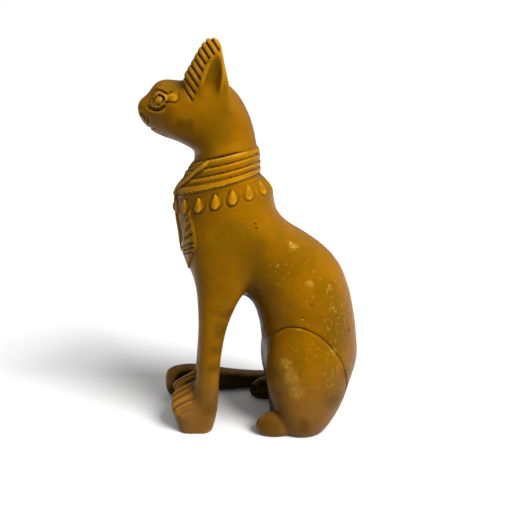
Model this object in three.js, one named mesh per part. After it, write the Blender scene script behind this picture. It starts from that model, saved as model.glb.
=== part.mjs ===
// A seated temple cat, cast in one piece: a collar of four bands with a row of drop
// beads, a winged pendant on the chest, and the tail laid along its right side.
// Millimetres, +Z up. The cat looks along -Y and its left side is +X.
// The form is drawn in 200ths of the height, as one smooth field that is negative
// inside the casting. The carving is a height added to that field or cut from it.
// The skin is taken off the field as a closed net and thinned where it is smooth.
import * as THREE from 'three';

// Driving sizes, in millimetres
const HEIGHT = 200;
const TAIL_WIDTH = 12.2;
const COLLAR_BANDS = 4;
const BAND_WIDTH = 3.75;
const BAND_RISE = 1.9;
const STRAP_WIDTH = 2.6;
const STRAP_RISE = 0.9;
const KNOB_WIDTH = 6;
const KNOB_RISE = 2.2;
const BEAD_COUNT = 16;
const BEAD_LENGTH = 7.4;
const BEAD_WIDTH = 4.9;
const BEAD_RISE = 1.4;
const BEAD_GAP = 1.3;
const BEAD_RING_WIDTH = 1.6;
const BEAD_RING_DEPTH = 0.3;
const EAR_CUT_PITCH = 2.875;
const EAR_CUT_WIDTH = 1.5;
const EAR_CUT_DEPTH = 0.85;
const THIGH_LINE_WIDTH = 2.2;
const THIGH_LINE_DEPTH = 0.9;
const TOE_PITCH = 3.6;
const TOE_CUT_WIDTH = 1.6;
const TOE_CUT_DEPTH = 1;
const HIND_TOE_PITCH = 3.1;
const HIND_TOE_DEPTH = 0.7;
const EYE_LENGTH = 8.6;
const EYE_HEIGHT = 4.6;
const FACE_CUT_WIDTH = 1.3;
const FACE_CUT_DEPTH = 0.65;
const PENDANT_RISE = 0.8;
const PENDANT_RIM_WIDTH = 1.9;
const FEATHER_PITCH = 3.1;
const FEATHER_CUT_WIDTH = 1.2;

// Net step and the number of faces that the finished skin keeps
const NET_STEP = 1.0;
const FACE_COUNT = 9400;

// One drawn unit in millimetres, and a real size in drawn units
const DRAWN_HEIGHT = 200;
const UNIT = HEIGHT / DRAWN_HEIGHT;
const drawn = (size) => size / UNIT;

// Curves and distances

function profile(...keys) {
  const slopes = keys.map((key, i) => {
    const before = keys[Math.max(i - 1, 0)];
    const after = keys[Math.min(i + 1, keys.length - 1)];
    if (before === key || after === key) return (after[1] - before[1]) / (after[0] - before[0]);
    const rise = (key[1] - before[1]) / (key[0] - before[0]);
    const fall = (after[1] - key[1]) / (after[0] - key[0]);
    return (rise * (after[0] - key[0]) + fall * (key[0] - before[0])) / (after[0] - before[0]);
  });
  return (place) => {
    if (place <= keys[0][0]) return keys[0][1];
    if (place >= keys[keys.length - 1][0]) return keys[keys.length - 1][1];
    let i = 0;
    while (keys[i + 1][0] < place) i += 1;
    const gap = keys[i + 1][0] - keys[i][0];
    const t = (place - keys[i][0]) / gap;
    const s = 1 - t;
    return keys[i][1] * (1 + 2 * t) * s * s + slopes[i] * gap * t * s * s
      + keys[i + 1][1] * t * t * (3 - 2 * t) - slopes[i + 1] * gap * t * t * s;
  };
}

function join(a, b, blend) {
  const near = Math.max(blend - Math.abs(a - b), 0) / blend;
  return Math.min(a, b) - near * near * blend / 4;
}

const cut = (a, b, blend) => -join(-a, -b, blend);

function ease(from, to, value) {
  const t = Math.min(Math.max((value - from) / (to - from), 0), 1);
  return t * t * (3 - 2 * t);
}

const ridge = (distance, width) => ease(width / 2, 0, Math.abs(distance));

function dome(share) {
  return share < 1 ? Math.sqrt(1 - share * share) : 0;
}

function ellipsoid([cx, cy, cz], [rx, ry, rz], lean = 0) {
  const cos = Math.cos(THREE.MathUtils.degToRad(lean));
  const sin = Math.sin(THREE.MathUtils.degToRad(lean));
  return (x, y, z) => {
    const u = (x - cx) / rx;
    const v = ((y - cy) * cos - (z - cz) * sin) / ry;
    const w = ((y - cy) * sin + (z - cz) * cos) / rz;
    const reach = Math.hypot(u, v, w);
    const slope = Math.hypot(u / rx, v / ry, w / rz) + 1e-9;
    return reach * (reach - 1) / slope;
  };
}

function oval(u, v, halfU, halfV, power = 2) {
  const a = Math.abs(u / halfU);
  const b = Math.abs(v / halfV);
  const reach = Math.max((a ** power + b ** power) ** (1 / power), 1e-6);
  const slope = Math.hypot(a ** (power - 1) / halfU, b ** (power - 1) / halfV) / reach ** (power - 1);
  return (reach - 1) / (slope + 1e-9);
}

// A form drawn as level slices, each an oval from front to back
function slices({ middle, front, back, half, power = 2 }) {
  return (x, y, z) => {
    const nearY = front(z);
    const farY = back(z);
    return oval(x - middle(z), y - (nearY + farY) / 2, half(z), (farY - nearY) / 2, power);
  };
}

const always = (value) => () => value;

function smoothPath(points, steps) {
  return new THREE.SplineCurve(points.map(([u, v]) => new THREE.Vector2(u, v))).getPoints(steps);
}

function pathDistance(path, u, v) {
  let nearest = Infinity;
  for (let i = 1; i < path.length; i += 1) {
    const start = path[i - 1];
    const du = path[i].x - start.x;
    const dv = path[i].y - start.y;
    const along = ((u - start.x) * du + (v - start.y) * dv) / (du * du + dv * dv);
    const t = Math.min(Math.max(along, 0), 1);
    nearest = Math.min(nearest, Math.hypot(u - start.x - t * du, v - start.y - t * dv));
  }
  return nearest;
}

// Body, from rump to shoulders

const trunk = slices({
  middle: always(0),
  front: profile([0, 8], [20, 6], [45, 3.2], [58, 1.2], [68, -2.6], [76, -8], [82, -14], [90, -21],
    [102, -28], [112, -33], [122, -35], [130, -34.3], [136, -31.7], [142, -29.2], [150, -28.2]),
  back: profile([0, 32], [7, 40.8], [18, 50], [34, 55.6], [48, 55], [62, 52.9], [76, 49.4], [88, 43.9],
    [97, 35.8], [104, 26.2], [110, 16.6], [116, 11.2], [123, 9.2], [128, 8.2], [132, 5.6], [136, 1.4],
    [142, 0.2], [150, -1]),
  half: profile([0, 15], [10, 20], [30, 25.5], [48, 25.5], [80, 23.6], [108, 21.2], [127, 19.8],
    [134, 17.6], [150, 14.8]),
});

const breast = slices({
  middle: always(0),
  front: profile([60, -30], [72, -30.8], [80, -32.6], [88, -35.6], [96, -38.3], [106, -39.6],
    [116, -40.6], [124, -40.2], [129, -37.5], [134, -34], [139, -30.7], [146, -28.8]),
  back: always(-4),
  half: profile([60, 8], [75, 12], [88, 15.5], [100, 17.6], [115, 18.6], [127, 17.6], [136, 16],
    [146, 14.8]),
});

const foreleg = slices({
  middle: profile([0, 11.6], [80, 11.4], [100, 9.5], [118, 8]),
  front: profile([0, -33], [20, -33.5], [40, -32], [55, -31.2], [72, -31.4], [92, -33.4], [118, -34]),
  back: profile([0, -25.4], [10, -22.8], [23, -21.3], [42, -19.4], [60, -15.2], [68, -11.8], [76, -7.6],
    [90, -3], [118, -6]),
  half: profile([0, 8.2], [15, 7.6], [35, 7.2], [55, 8.2], [72, 10], [88, 12], [118, 11]),
  power: 2.4,
});

// The top of a paw falls away from the inner toe to the outer one
const PAW_FALL = 0.45;
const PAW_INNER_TOE = 3;
const PAW_TOP = 27;
const pawBlock = slices({
  middle: always(10.4),
  front: profile([0, -41.6], [6, -43.4], [13, -45.2], [19.5, -45.6], [21.5, -42.6], [24, -38.2],
    [28, -33.5]),
  back: profile([0, -29.6], [3, -27], [7, -24.6], [13, -23], [27, -22]),
  half: profile([0, 8.6], [6, 9.6], [13, 9.8], [18, 9.2], [20.5, 8], [23, 6.6], [28, 5]),
  power: 2.7,
});

function forepaw(side, y, z) {
  const level = z + PAW_FALL * (side - PAW_INNER_TOE);
  return cut(pawBlock(side, y, level), level - PAW_TOP, 4);
}

// A thin sheet between the forelegs, set back from their fronts
const WEB_MIDDLE_Y = -26.2;
const WEB_TOP = 95;
const webHalfThickness = profile([0, 2.2], [95, 5]);

function legWeb(x, y, z) {
  const sheet = cut(Math.abs(x) - 6, Math.abs(y - WEB_MIDDLE_Y) - webHalfThickness(z), 2);
  return cut(sheet, z - WEB_TOP, 4);
}

const thigh = ellipsoid([15.2, 25.4, 28.8], [15, 21, 31], -8);
const hock = ellipsoid([21.3, 22.9, 9.5], [10.3, 12.9, 14.5]);
const hindFoot = ellipsoid([21.4, 9.2, 4], [6.8, 11.1, 7.6]);

// Neck and head

const neck = slices({
  middle: always(0),
  front: profile([134, -30], [142, -28.8], [147, -31.2], [151, -36.2], [156, -39.5], [162, -39.5],
    [170, -37], [178, -33], [184, -30]),
  back: profile([134, -0.4], [142, 0.2], [150, 0.2], [158, -1.4], [166, -4.2], [173, -9.2],
    [179, -15.7], [184, -22]),
  half: profile([134, 14.2], [145, 14.2], [156, 15.2], [165, 15.6], [174, 14.4], [184, 9]),
});

const skull = ellipsoid([0, -29, 167.4], [16.4, 19.6, 14.2], -8);
const cheek = ellipsoid([8.2, -36, 163.5], [8, 11.5, 9.5]);
const muzzle = ellipsoid([0, -46.8, 164.3], [8.4, 12.7, 8.75], 33);
const brow = ellipsoid([0, -40.8, 171.3], [11.5, 12, 9], 39);

function head(x, y, z) {
  const face = join(join(skull(x, y, z), cheek(Math.abs(x), y, z), 5), muzzle(x, y, z), 7);
  return join(face, brow(x, y, z), 5);
}

// Ears, each a tall leaf with its outer side scooped out

const EAR_FOOT = 166;
const EAR_TIP = 200.45;
const EAR_TURN = 0.2;
const earFront = profile([166, -33], [172, -34.8], [178, -35.6], [183.4, -35.1], [188.2, -32.2],
  [193.2, -29.2], [198, -26.2], [202, -24.8]);
const earBack = profile([166, -12], [177.4, -13.7], [184, -15.2], [191.5, -16.7], [197, -17.7],
  [202, -18.8]);
const earMiddle = profile([166, 10], [176, 11.6], [184, 12.8], [202, 13.8]);
const earThickness = profile([166, 5.4], [174, 5.2], [182, 4.5], [190, 3.7], [198, 2.8], [202, 2.4]);
const earHollow = ellipsoid([20.6, -22.6, 177.5], [6.6, 4.6, 15.5], 16);

function ear(side, y, z) {
  const nearY = earFront(z);
  const farY = earBack(z);
  const along = y - (nearY + farY) / 2;
  const across = side - earMiddle(z) - EAR_TURN * along;
  const leaf = oval(across, along, earThickness(z), (farY - nearY) / 2, 2.3);
  const cropped = cut(cut(leaf, z - EAR_TIP, 5), EAR_FOOT - z, 3);
  return cut(cropped, -earHollow(side, y, z), 1.6);
}

// Tail, laid on the ground from the rump to beside the right forepaw

const TAIL_POWER = 3;
const tailPath = smoothPath([[6, 33], [-10, 36.5], [-22, 35.5], [-31, 27], [-35, 13], [-35.2, -2],
  [-34, -18], [-32.4, -32], [-29.8, -42], [-27.4, -45.6]], 36);
const tailTop = profile([-52, 17.2], [-38, 16.8], [-26, 14.4], [-12, 11], [7, 8.5], [30, 9.8], [60, 12]);

function tail(x, y, z) {
  const halfHeight = tailTop(y) / 2;
  return oval(pathDistance(tailPath, x, y), z - halfHeight, drawn(TAIL_WIDTH) / 2, halfHeight, TAIL_POWER);
}

// Where the trunk, the breast, the forelegs and the neck run out into the next form.
// Each form is asked for only at heights where it can be near.
const SHOULDER_TOP = 148;
const BREAST_FOOT = 66;
const FORELEG_TOP = 112;
const NECK_FOOT = 136;
const NECK_TOP = 184;

function body(x, y, z) {
  const side = Math.abs(x);
  const chest = cut(cut(breast(x, y, z), z - SHOULDER_TOP, 6), BREAST_FOOT - z, 20);
  let form = join(cut(trunk(x, y, z), z - SHOULDER_TOP, 6), chest, 9);
  if (z < 125) form = join(form, cut(foreleg(side, y, z), z - FORELEG_TOP, 14), 6);
  if (z < 100) form = join(form, legWeb(x, y, z), 2.5);
  if (z < 36) form = join(form, forepaw(side, y, z), 3);
  if (z < 70) form = join(form, join(thigh(side, y, z), hock(side, y, z), 7), 6.5);
  if (z < 20) form = join(form, hindFoot(side, y, z), 1.5);
  if (z < 24) form = join(form, tail(x, y, z), 2);
  if (z > 128) form = join(form, cut(cut(neck(x, y, z), z - NECK_TOP, 6), NECK_FOOT - z, 4), 3);
  if (z > 140) form = join(form, head(x, y, z), 7);
  if (z > 158) form = join(form, ear(side, y, z), 2.5);
  return form;
}

// Collar: bands that ride up towards the nape, under a crossed strap with a knob. They are lower
// by a share of their rise at the nape, and again along their upper edge at the nape and the throat.

const CARVED_EDGE = 0.35;
const COLLAR_SLOPE = 0.238;
const COLLAR_TOP = 149.4;
const NAPE_SHARE = 0.45;
const TOP_SHARE = 0.6;
const atNape = (y) => ease(-14, -3, y);
const atThroat = (y) => ease(-20, -31, y);
const bandWidth = drawn(BAND_WIDTH);
const collarBottom = COLLAR_TOP - COLLAR_BANDS * bandWidth;
const collarLevel = (y, z) => z - COLLAR_SLOPE * y;

// Where a place falls in a pattern that repeats, from 0 to its pitch
const within = (place, pitch) => ((place % pitch) + pitch) % pitch;

function bandHeight(y, level) {
  const down = COLLAR_TOP - level;
  const top = ease(3, 0.2, down) * Math.max(atNape(y), atThroat(y));
  const rise = drawn(BAND_RISE) * (1 - NAPE_SHARE * atNape(y)) * (1 - TOP_SHARE * top);
  const inside = ease(-CARVED_EDGE, CARVED_EDGE, down)
    * ease(-CARVED_EDGE, CARVED_EDGE, level - collarBottom);
  const share = within(down, bandWidth) / bandWidth;
  const round = Math.max(1 - Math.abs(share * 2 - 0.85) ** 2.4, 0) ** 0.6;
  return inside * rise * (0.4 + 0.6 * round);
}

// The strap's route is drawn on the chest laid out flat, and it lies on what it crosses
const CHEST_AXIS_Y = -17.5;
const CHEST_RADIUS = 16;
const strapPath = smoothPath([[29.9, 144.6], [21.5, 143.4], [17.5, 141.6], [12.6, 137.8], [7.1, 132.2],
  [1.95, 128], [0, 120.7]], 24);
const knobPlace = new THREE.Vector3(0, -42.5, 118.6);
const probe = new THREE.Vector3();

function strapHeight(side, y, z) {
  const level = collarLevel(y, z);
  const across = CHEST_RADIUS * Math.atan2(side, CHEST_AXIS_Y - y);
  const half = drawn(STRAP_WIDTH) / 2;
  const away = level < COLLAR_TOP + 1 ? pathDistance(strapPath, across, z) : Infinity;
  const inside = ease(half + CARVED_EDGE, half - CARVED_EDGE, away);
  const down = collarBottom - level;
  const under = drawn(BAND_RISE) * (0.4 * ease(9, 2, down) + 0.6 * ease(2, -0.5, down));
  const knob = dome(probe.set(side, y, z).distanceTo(knobPlace) / (drawn(KNOB_WIDTH) / 2));
  return Math.max((under + drawn(STRAP_RISE)) * inside, drawn(KNOB_RISE) * knob);
}

// Beads: raised drops, point up, each with a shallow ring round its lower end.
// A drop is widest a third of the way up, where this outline reaches half its width.

const beadLength = drawn(BEAD_LENGTH);
const beadHalf = drawn(BEAD_WIDTH) / 2;
const beadLevel = collarBottom - drawn(BEAD_GAP) - beadLength / 2;
const dropOutline = (share) => 2.6 * Math.sqrt(share) * (1 - share);

function beadHeight(x, y, z) {
  const pitch = 2 * Math.PI / BEAD_COUNT;
  const turn = within(Math.atan2(x, CHEST_AXIS_Y - y), pitch) - pitch / 2;
  const across = turn * Math.hypot(x, y - CHEST_AXIS_Y);
  const up = collarLevel(y, z) - beadLevel;
  const share = up / beadLength + 0.5;
  const ringPlace = oval(across, up + 0.08 * beadLength, 1.26 * beadHalf, 0.54 * beadLength);
  const ring = up < beadLength / 3 ? drawn(BEAD_RING_DEPTH) * ridge(ringPlace, drawn(BEAD_RING_WIDTH)) : 0;
  if (share <= 0 || share >= 1) return -ring;
  const half = beadHalf * dropOutline(share) + 1e-3;
  const rise = drawn(BEAD_RISE) * (1 - NAPE_SHARE * atNape(y));
  return rise * dome(Math.abs(across) / half) * (1 - 0.45 * share) - ring;
}

// Pendant: two wings that curve up from a fan, with an oval body between them

const PENDANT_TOP = 121;
const PENDANT_FOOT = 89;
const wingRim = smoothPath([[13.6, 121], [14.6, 114], [14.4, 106], [12.6, 98], [9, 92.4], [4, 89]], 20);
const wingHalf = profile([88, 3], [92.4, 9], [98, 12.6], [106, 14.4], [114, 14.6], [121, 13.6]);

function pendantHeight(side, z) {
  const half = wingHalf(z);
  const inside = ease(0.4, -0.4, side - half) * ease(PENDANT_FOOT - 0.5, PENDANT_FOOT + 0.5, z)
    * ease(PENDANT_TOP + 0.5, PENDANT_TOP - 1, z);
  const rim = ridge(pathDistance(wingRim, side, z), drawn(PENDANT_RIM_WIDTH));
  const pitch = drawn(FEATHER_PITCH);
  const place = within(0.62 * side - 0.78 * (z - PENDANT_FOOT), pitch) - pitch / 2;
  const slit = ridge(place, drawn(FEATHER_CUT_WIDTH)) * ease(2.9, 3.6, side)
    * ease(-0.5, -1.6, side - half);
  const core = ease(0.6, -0.8, oval(side, z - 105, 3.4, 10.5));
  return drawn(PENDANT_RISE) * (inside * (0.95 - 0.8 * slit) + 1.05 * rim + 1.25 * core);
}

// Eyes, brows, cheek marks, mouth and whisker cuts

const EYE_INNER = [-52.1, 168.4];
const EYE_OUTER = [-44.8, 173];
const eyeTilt = Math.atan2(EYE_OUTER[1] - EYE_INNER[1], EYE_OUTER[0] - EYE_INNER[0]);
const EYE_LIFT = 0.25;
const eyeMiddle = [(EYE_INNER[0] + EYE_OUTER[0]) / 2, (EYE_INNER[1] + EYE_OUTER[1]) / 2 + EYE_LIFT];
const browLine = smoothPath([[-51.6, 174.6], [-49.4, 176.8], [-46.6, 176.9], [-44.1, 175.2],
  [-42.3, 175.7], [-40.4, 177.6]], 15);
const cheekLine = smoothPath([[-45, 169.6], [-42.2, 170.6], [-39.9, 170.3], [-37.9, 172.2],
  [-37.8, 174.6]], 12);
const mouthLine = smoothPath([[-56, 158.8], [-53.6, 158.2], [-50.2, 158.1]], 4);
const whiskerCuts = [[[-57, 166.4], [-56.2, 164.6]], [[-55.9, 165.4], [-55, 163.4]],
  [[-54.4, 164], [-53.2, 160.8]]].map((ends) => smoothPath(ends, 1));

function eyeHeight(y, z) {
  const u = (y - eyeMiddle[0]) * Math.cos(eyeTilt) + (z - eyeMiddle[1]) * Math.sin(eyeTilt);
  const v = (z - eyeMiddle[1]) * Math.cos(eyeTilt) - (y - eyeMiddle[0]) * Math.sin(eyeTilt);
  const length = drawn(EYE_LENGTH) / 2;
  const height = drawn(EYE_HEIGHT) / 2;
  const radius = (length * length + height * height) / (2 * height);
  const outside = Math.hypot(u, Math.abs(v) + radius - height) - radius;
  const ball = 0.75 * dome(Math.hypot(u / 2.9, v / 1.7));
  const lid = 0.75 * ridge(outside - 0.45, 1.5);
  const under = 0.6 * ridge(outside - 1.5, 1.5) * ease(0.9, -0.4, v);
  return ball + lid - 0.35 * ridge(outside + 0.45, 0.9) - under;
}

function faceHeight(side, y, z) {
  const width = drawn(FACE_CUT_WIDTH);
  const depth = drawn(FACE_CUT_DEPTH);
  let height = ease(4, 6.5, side) * (eyeHeight(y, z) - depth * ridge(pathDistance(browLine, y, z), width));
  height -= ease(6, 9, side) * depth * ridge(pathDistance(cheekLine, y, z), width);
  height += ease(6, 9, side) * 0.45 * ease(0.5, -0.5, oval(y + 41.6, z - 173.4, 4.2, 2.2));
  height -= depth * ridge(pathDistance(mouthLine, y, z), width);
  for (const slit of whiskerCuts) {
    height -= ease(1.5, 3, side) * depth * ridge(pathDistance(slit, y, z), width);
  }
  const lip = ease(158, 159, z) * ease(165.5, 164, z) * ease(-47, -49, y);
  return height - depth * ridge(side, width) * lip;
}

// Cuts across the front rim of each ear, slanting down and back

const EAR_CUT_START = 66.8;
const EAR_CUT_END = 92.7;
const earCutLimit = profile([168, -32.5], [172.6, -30.8], [179.3, -28.3], [186.6, -25.7], [190.6, -23.2],
  [193, -19.6], [201, -16.5]);

function earCut(y, z) {
  const along = 0.83 * y + 0.55 * z;
  const pitch = drawn(EAR_CUT_PITCH);
  const place = within(along - EAR_CUT_START, pitch) - pitch / 2;
  const inside = ease(-0.8, 0.4, earCutLimit(z) - y) * ease(EAR_CUT_START - 0.5, EAR_CUT_START + 0.3, along)
    * ease(EAR_CUT_END, EAR_CUT_END - 0.6, along) * ease(170.2, 172, z);
  return drawn(EAR_CUT_DEPTH) * inside * ridge(place, drawn(EAR_CUT_WIDTH));
}

// Toes, and the line round each thigh

function toeCut(side, first, pitch, from, to) {
  if (side < from || side > to) return 0;
  const step = within(side - first, pitch);
  return ridge(Math.min(step, pitch - step), drawn(TOE_CUT_WIDTH));
}

const thighLine = smoothPath([[3.6, 49], [5.4, 50.7], [8.6, 55], [14.2, 58.9], [21.6, 59.1], [30.8, 54.4],
  [38.1, 46.7], [43.3, 37.8], [46.6, 26], [47, 15]], 30);

function carving(x, y, z) {
  const side = Math.abs(x);
  let height = 0;
  if (z > 84 && z < 124 && y < -24) height += pendantHeight(side, z);
  if (z > 116 && z < 153) {
    const level = collarLevel(y, z);
    const beads = ease(0.2, -0.4, level - collarBottom) * beadHeight(x, y, z);
    const raised = Math.max(bandHeight(y, level), beads, strapHeight(side, y, z));
    height = Math.max(height, raised > 0 ? raised : height + raised);
  }
  if (z > 154 && z < 181 && y < -34) height += faceHeight(side, y, z);
  if (z > 170 && side > 5 && y < -14) height -= earCut(y, z);
  if (z < 63 && side > 9 && y > 0) {
    height -= drawn(THIGH_LINE_DEPTH) * ridge(pathDistance(thighLine, y, z), drawn(THIGH_LINE_WIDTH));
  }
  if (z < 27 && y < -26 && x > -23) {
    height -= drawn(TOE_CUT_DEPTH) * toeCut(side, 1.2, drawn(TOE_PITCH), 3, 19) * ease(-32.5, -35.5, y);
  }
  if (z < 14 && y > -4 && y < 9) {
    height -= drawn(HIND_TOE_DEPTH) * toeCut(side, 13, drawn(HIND_TOE_PITCH), 14, 23.6) * ease(5, 2, y);
  }
  return height;
}

const FLOOR_EDGE = 0.6;
const field = (x, y, z) => cut(body(x, y, z) - carving(x, y, z), -z, FLOOR_EDGE);

// The field on a grid of points. Blocks that the skin can't reach take one rough value.

function sample(values, box, step) {
  const counts = box.getSize(new THREE.Vector3()).toArray().map((length) => Math.ceil(length / step) + 1);
  const [nx, ny, nz] = counts;
  const block = 4;
  const reach = block * step * 1.3;
  const grid = new Float32Array(nx * ny * nz);
  const at = (n, axis) => box.min.getComponent(axis) + n * step;
  for (let k = 0; k < nz; k += block) {
    for (let j = 0; j < ny; j += block) {
      for (let i = 0; i < nx; i += block) {
        const rough = values(at(i + block / 2, 0), at(j + block / 2, 1), at(k + block / 2, 2));
        for (let c = k; c < Math.min(k + block, nz); c += 1) {
          for (let b = j; b < Math.min(j + block, ny); b += 1) {
            for (let a = i; a < Math.min(i + block, nx); a += 1) {
              const near = Math.abs(rough) < reach;
              grid[a + nx * (b + ny * c)] = near ? values(at(a, 0), at(b, 1), at(c, 2)) : rough;
            }
          }
        }
      }
    }
  }
  return { grid, counts, strides: [1, nx, nx * ny], at };
}

// A cell's corners are numbered by bits: 1 along x, 2 along y, 4 along z

const CORNERS = [0, 1, 2, 3, 4, 5, 6, 7];

function inOneGroup(marked) {
  const wanted = CORNERS.filter((corner) => marked & (1 << corner));
  const reached = wanted.slice(0, 1);
  for (const corner of reached) {
    for (const next of [corner ^ 1, corner ^ 2, corner ^ 4]) {
      if (wanted.includes(next) && !reached.includes(next)) reached.push(next);
    }
  }
  return reached.length === wanted.length;
}

const ALL_CORNERS = 255;
const plainCell = Array.from({ length: ALL_CORNERS + 1 },
  (_, marked) => inOneGroup(marked) && inOneGroup(ALL_CORNERS - marked));

function eachCell({ counts, strides }, visit) {
  for (let k = 0; k < counts[2] - 1; k += 1) {
    for (let j = 0; j < counts[1] - 1; j += 1) {
      for (let i = 0; i < counts[0] - 1; i += 1) visit(i + j * strides[1] + k * strides[2], i, j, k);
    }
  }
}

// Evens out the grid round each cell that the skin would cross twice, until the net closes
function untangle(samples) {
  const { grid, strides } = samples;
  const offsets = CORNERS.map((corner) => {
    return (corner & 1) + ((corner >> 1) & 1) * strides[1] + (corner >> 2) * strides[2];
  });
  const ways = strides.flatMap((stride) => [stride, -stride]);
  const tangled = new Set();
  do {
    tangled.clear();
    eachCell(samples, (cell) => {
      let marked = 0;
      for (const corner of CORNERS) if (grid[cell + offsets[corner]] < 0) marked |= 1 << corner;
      if (!plainCell[marked]) for (const offset of offsets) tangled.add(cell + offset);
    });
    const evened = Array.from(tangled, (place) => {
      const about = ways.reduce((sum, way) => sum + grid[place + way], 0) / ways.length;
      return [place, (grid[place] + about) / 2];
    });
    for (const [place, value] of evened) grid[place] = value;
  } while (tangled.size);
}

// The skin as a closed net of quads, with one corner in each cell that it crosses
function netOf(values, box, step) {
  const samples = sample(values, box, step);
  untangle(samples);
  const { grid, strides, at } = samples;
  const corner = new Int32Array(grid.length).fill(-1);
  const positions = [];
  eachCell(samples, (cell, ...place) => {
    const sum = [0, 0, 0];
    let crossings = 0;
    for (let axis = 0; axis < 3; axis += 1) {
      const [second, third] = [(axis + 1) % 3, (axis + 2) % 3];
      for (let m = 0; m < 4; m += 1) {
        const start = cell + (m & 1) * strides[second] + (m >> 1) * strides[third];
        const a = grid[start];
        const b = grid[start + strides[axis]];
        if ((a < 0) === (b < 0)) continue;
        sum[axis] += a / (a - b);
        sum[second] += m & 1;
        sum[third] += m >> 1;
        crossings += 1;
      }
    }
    if (!crossings) return;
    corner[cell] = positions.length / 3;
    for (let axis = 0; axis < 3; axis += 1) positions.push(at(place[axis] + sum[axis] / crossings, axis));
  });
  const faces = [];
  eachCell(samples, (cell) => {
    const inside = grid[cell] < 0;
    for (let axis = 0; axis < 3; axis += 1) {
      if (inside === (grid[cell + strides[axis]] < 0)) continue;
      const across = strides[(axis + 1) % 3];
      const up = strides[(axis + 2) % 3];
      const [a, b, c, d] = [cell - across - up, cell - up, cell, cell - across].map((n) => corner[n]);
      if (inside) faces.push(a, b, c, a, c, d);
      else faces.push(a, c, b, a, d, c);
    }
  });
  return { positions: Float64Array.from(positions), faces: Int32Array.from(faces) };
}

// Moves each corner of the net towards the field's skin, where that brings it nearer
function settle(positions, values, rounds) {
  const probeStep = 0.1;
  const longest = 0.4;
  const slope = new THREE.Vector3();
  for (let round = 0; round < rounds; round += 1) {
    for (let i = 0; i < positions.length; i += 3) {
      const [x, y, z] = positions.subarray(i, i + 3);
      const here = values(x, y, z);
      slope.set(values(x + probeStep, y, z), values(x, y + probeStep, z), values(x, y, z + probeStep));
      slope.subScalar(here).divideScalar(probeStep);
      const move = slope.multiplyScalar(-here / (slope.lengthSq() + 1e-6)).clampLength(0, longest);
      const there = values(x + move.x, y + move.y, z + move.z);
      if (Math.abs(there) < Math.abs(here)) positions.set([x + move.x, y + move.y, z + move.z], i);
    }
  }
}

// Thins the net by merging the pair of corners that changes the shape least, again and again

const LENGTH_WEIGHT = 2e-4;
const LEAST_TURN = 0.35;

class PairQueue {
  constructor() {
    this.pairs = [];
  }

  push(pair) {
    const pairs = this.pairs;
    let place = pairs.length;
    pairs.push(pair);
    while (place > 0) {
      const parent = (place - 1) >> 1;
      if (pairs[parent].cost <= pair.cost) break;
      pairs[place] = pairs[parent];
      place = parent;
    }
    pairs[place] = pair;
  }

  pop() {
    const pairs = this.pairs;
    const first = pairs[0];
    const last = pairs.pop();
    const count = pairs.length;
    if (!count) return first;
    let place = 0;
    for (;;) {
      let child = 2 * place + 1;
      if (child >= count) break;
      if (child + 1 < count && pairs[child + 1].cost < pairs[child].cost) child += 1;
      if (last.cost <= pairs[child].cost) break;
      pairs[place] = pairs[child];
      place = child;
    }
    pairs[place] = last;
    return first;
  }
}

function faceNormal(positions, a, b, c, target) {
  const [ax, ay, az] = [positions[3 * a], positions[3 * a + 1], positions[3 * a + 2]];
  const [ux, uy, uz] = [positions[3 * b] - ax, positions[3 * b + 1] - ay, positions[3 * b + 2] - az];
  const [vx, vy, vz] = [positions[3 * c] - ax, positions[3 * c + 1] - ay, positions[3 * c + 2] - az];
  return target.set(uy * vz - uz * vy, uz * vx - ux * vz, ux * vy - uy * vx);
}

// How far a point is from the planes that a corner stands for, squared and weighed by area
function misfit(q, x, y, z) {
  return q[0] * x * x + q[4] * y * y + q[7] * z * z + q[9]
    + 2 * (q[1] * x * y + q[2] * x * z + q[3] * x + q[5] * y * z + q[6] * y + q[8] * z);
}

// The point that fits those planes best, or none where they don't fix one
function bestPoint(q, flatZ) {
  if (flatZ) {
    const det = q[0] * q[4] - q[1] * q[1];
    if (Math.abs(det) < 1e-9) return null;
    return [(q[1] * q[6] - q[4] * q[3]) / det, (q[1] * q[3] - q[0] * q[6]) / det, 0];
  }
  const matrix = new THREE.Matrix3().set(q[0], q[1], q[2], q[1], q[4], q[5], q[2], q[5], q[7]);
  if (Math.abs(matrix.determinant()) < 1e-7) return null;
  return new THREE.Vector3(-q[3], -q[6], -q[8]).applyMatrix3(matrix.invert()).toArray();
}

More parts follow.
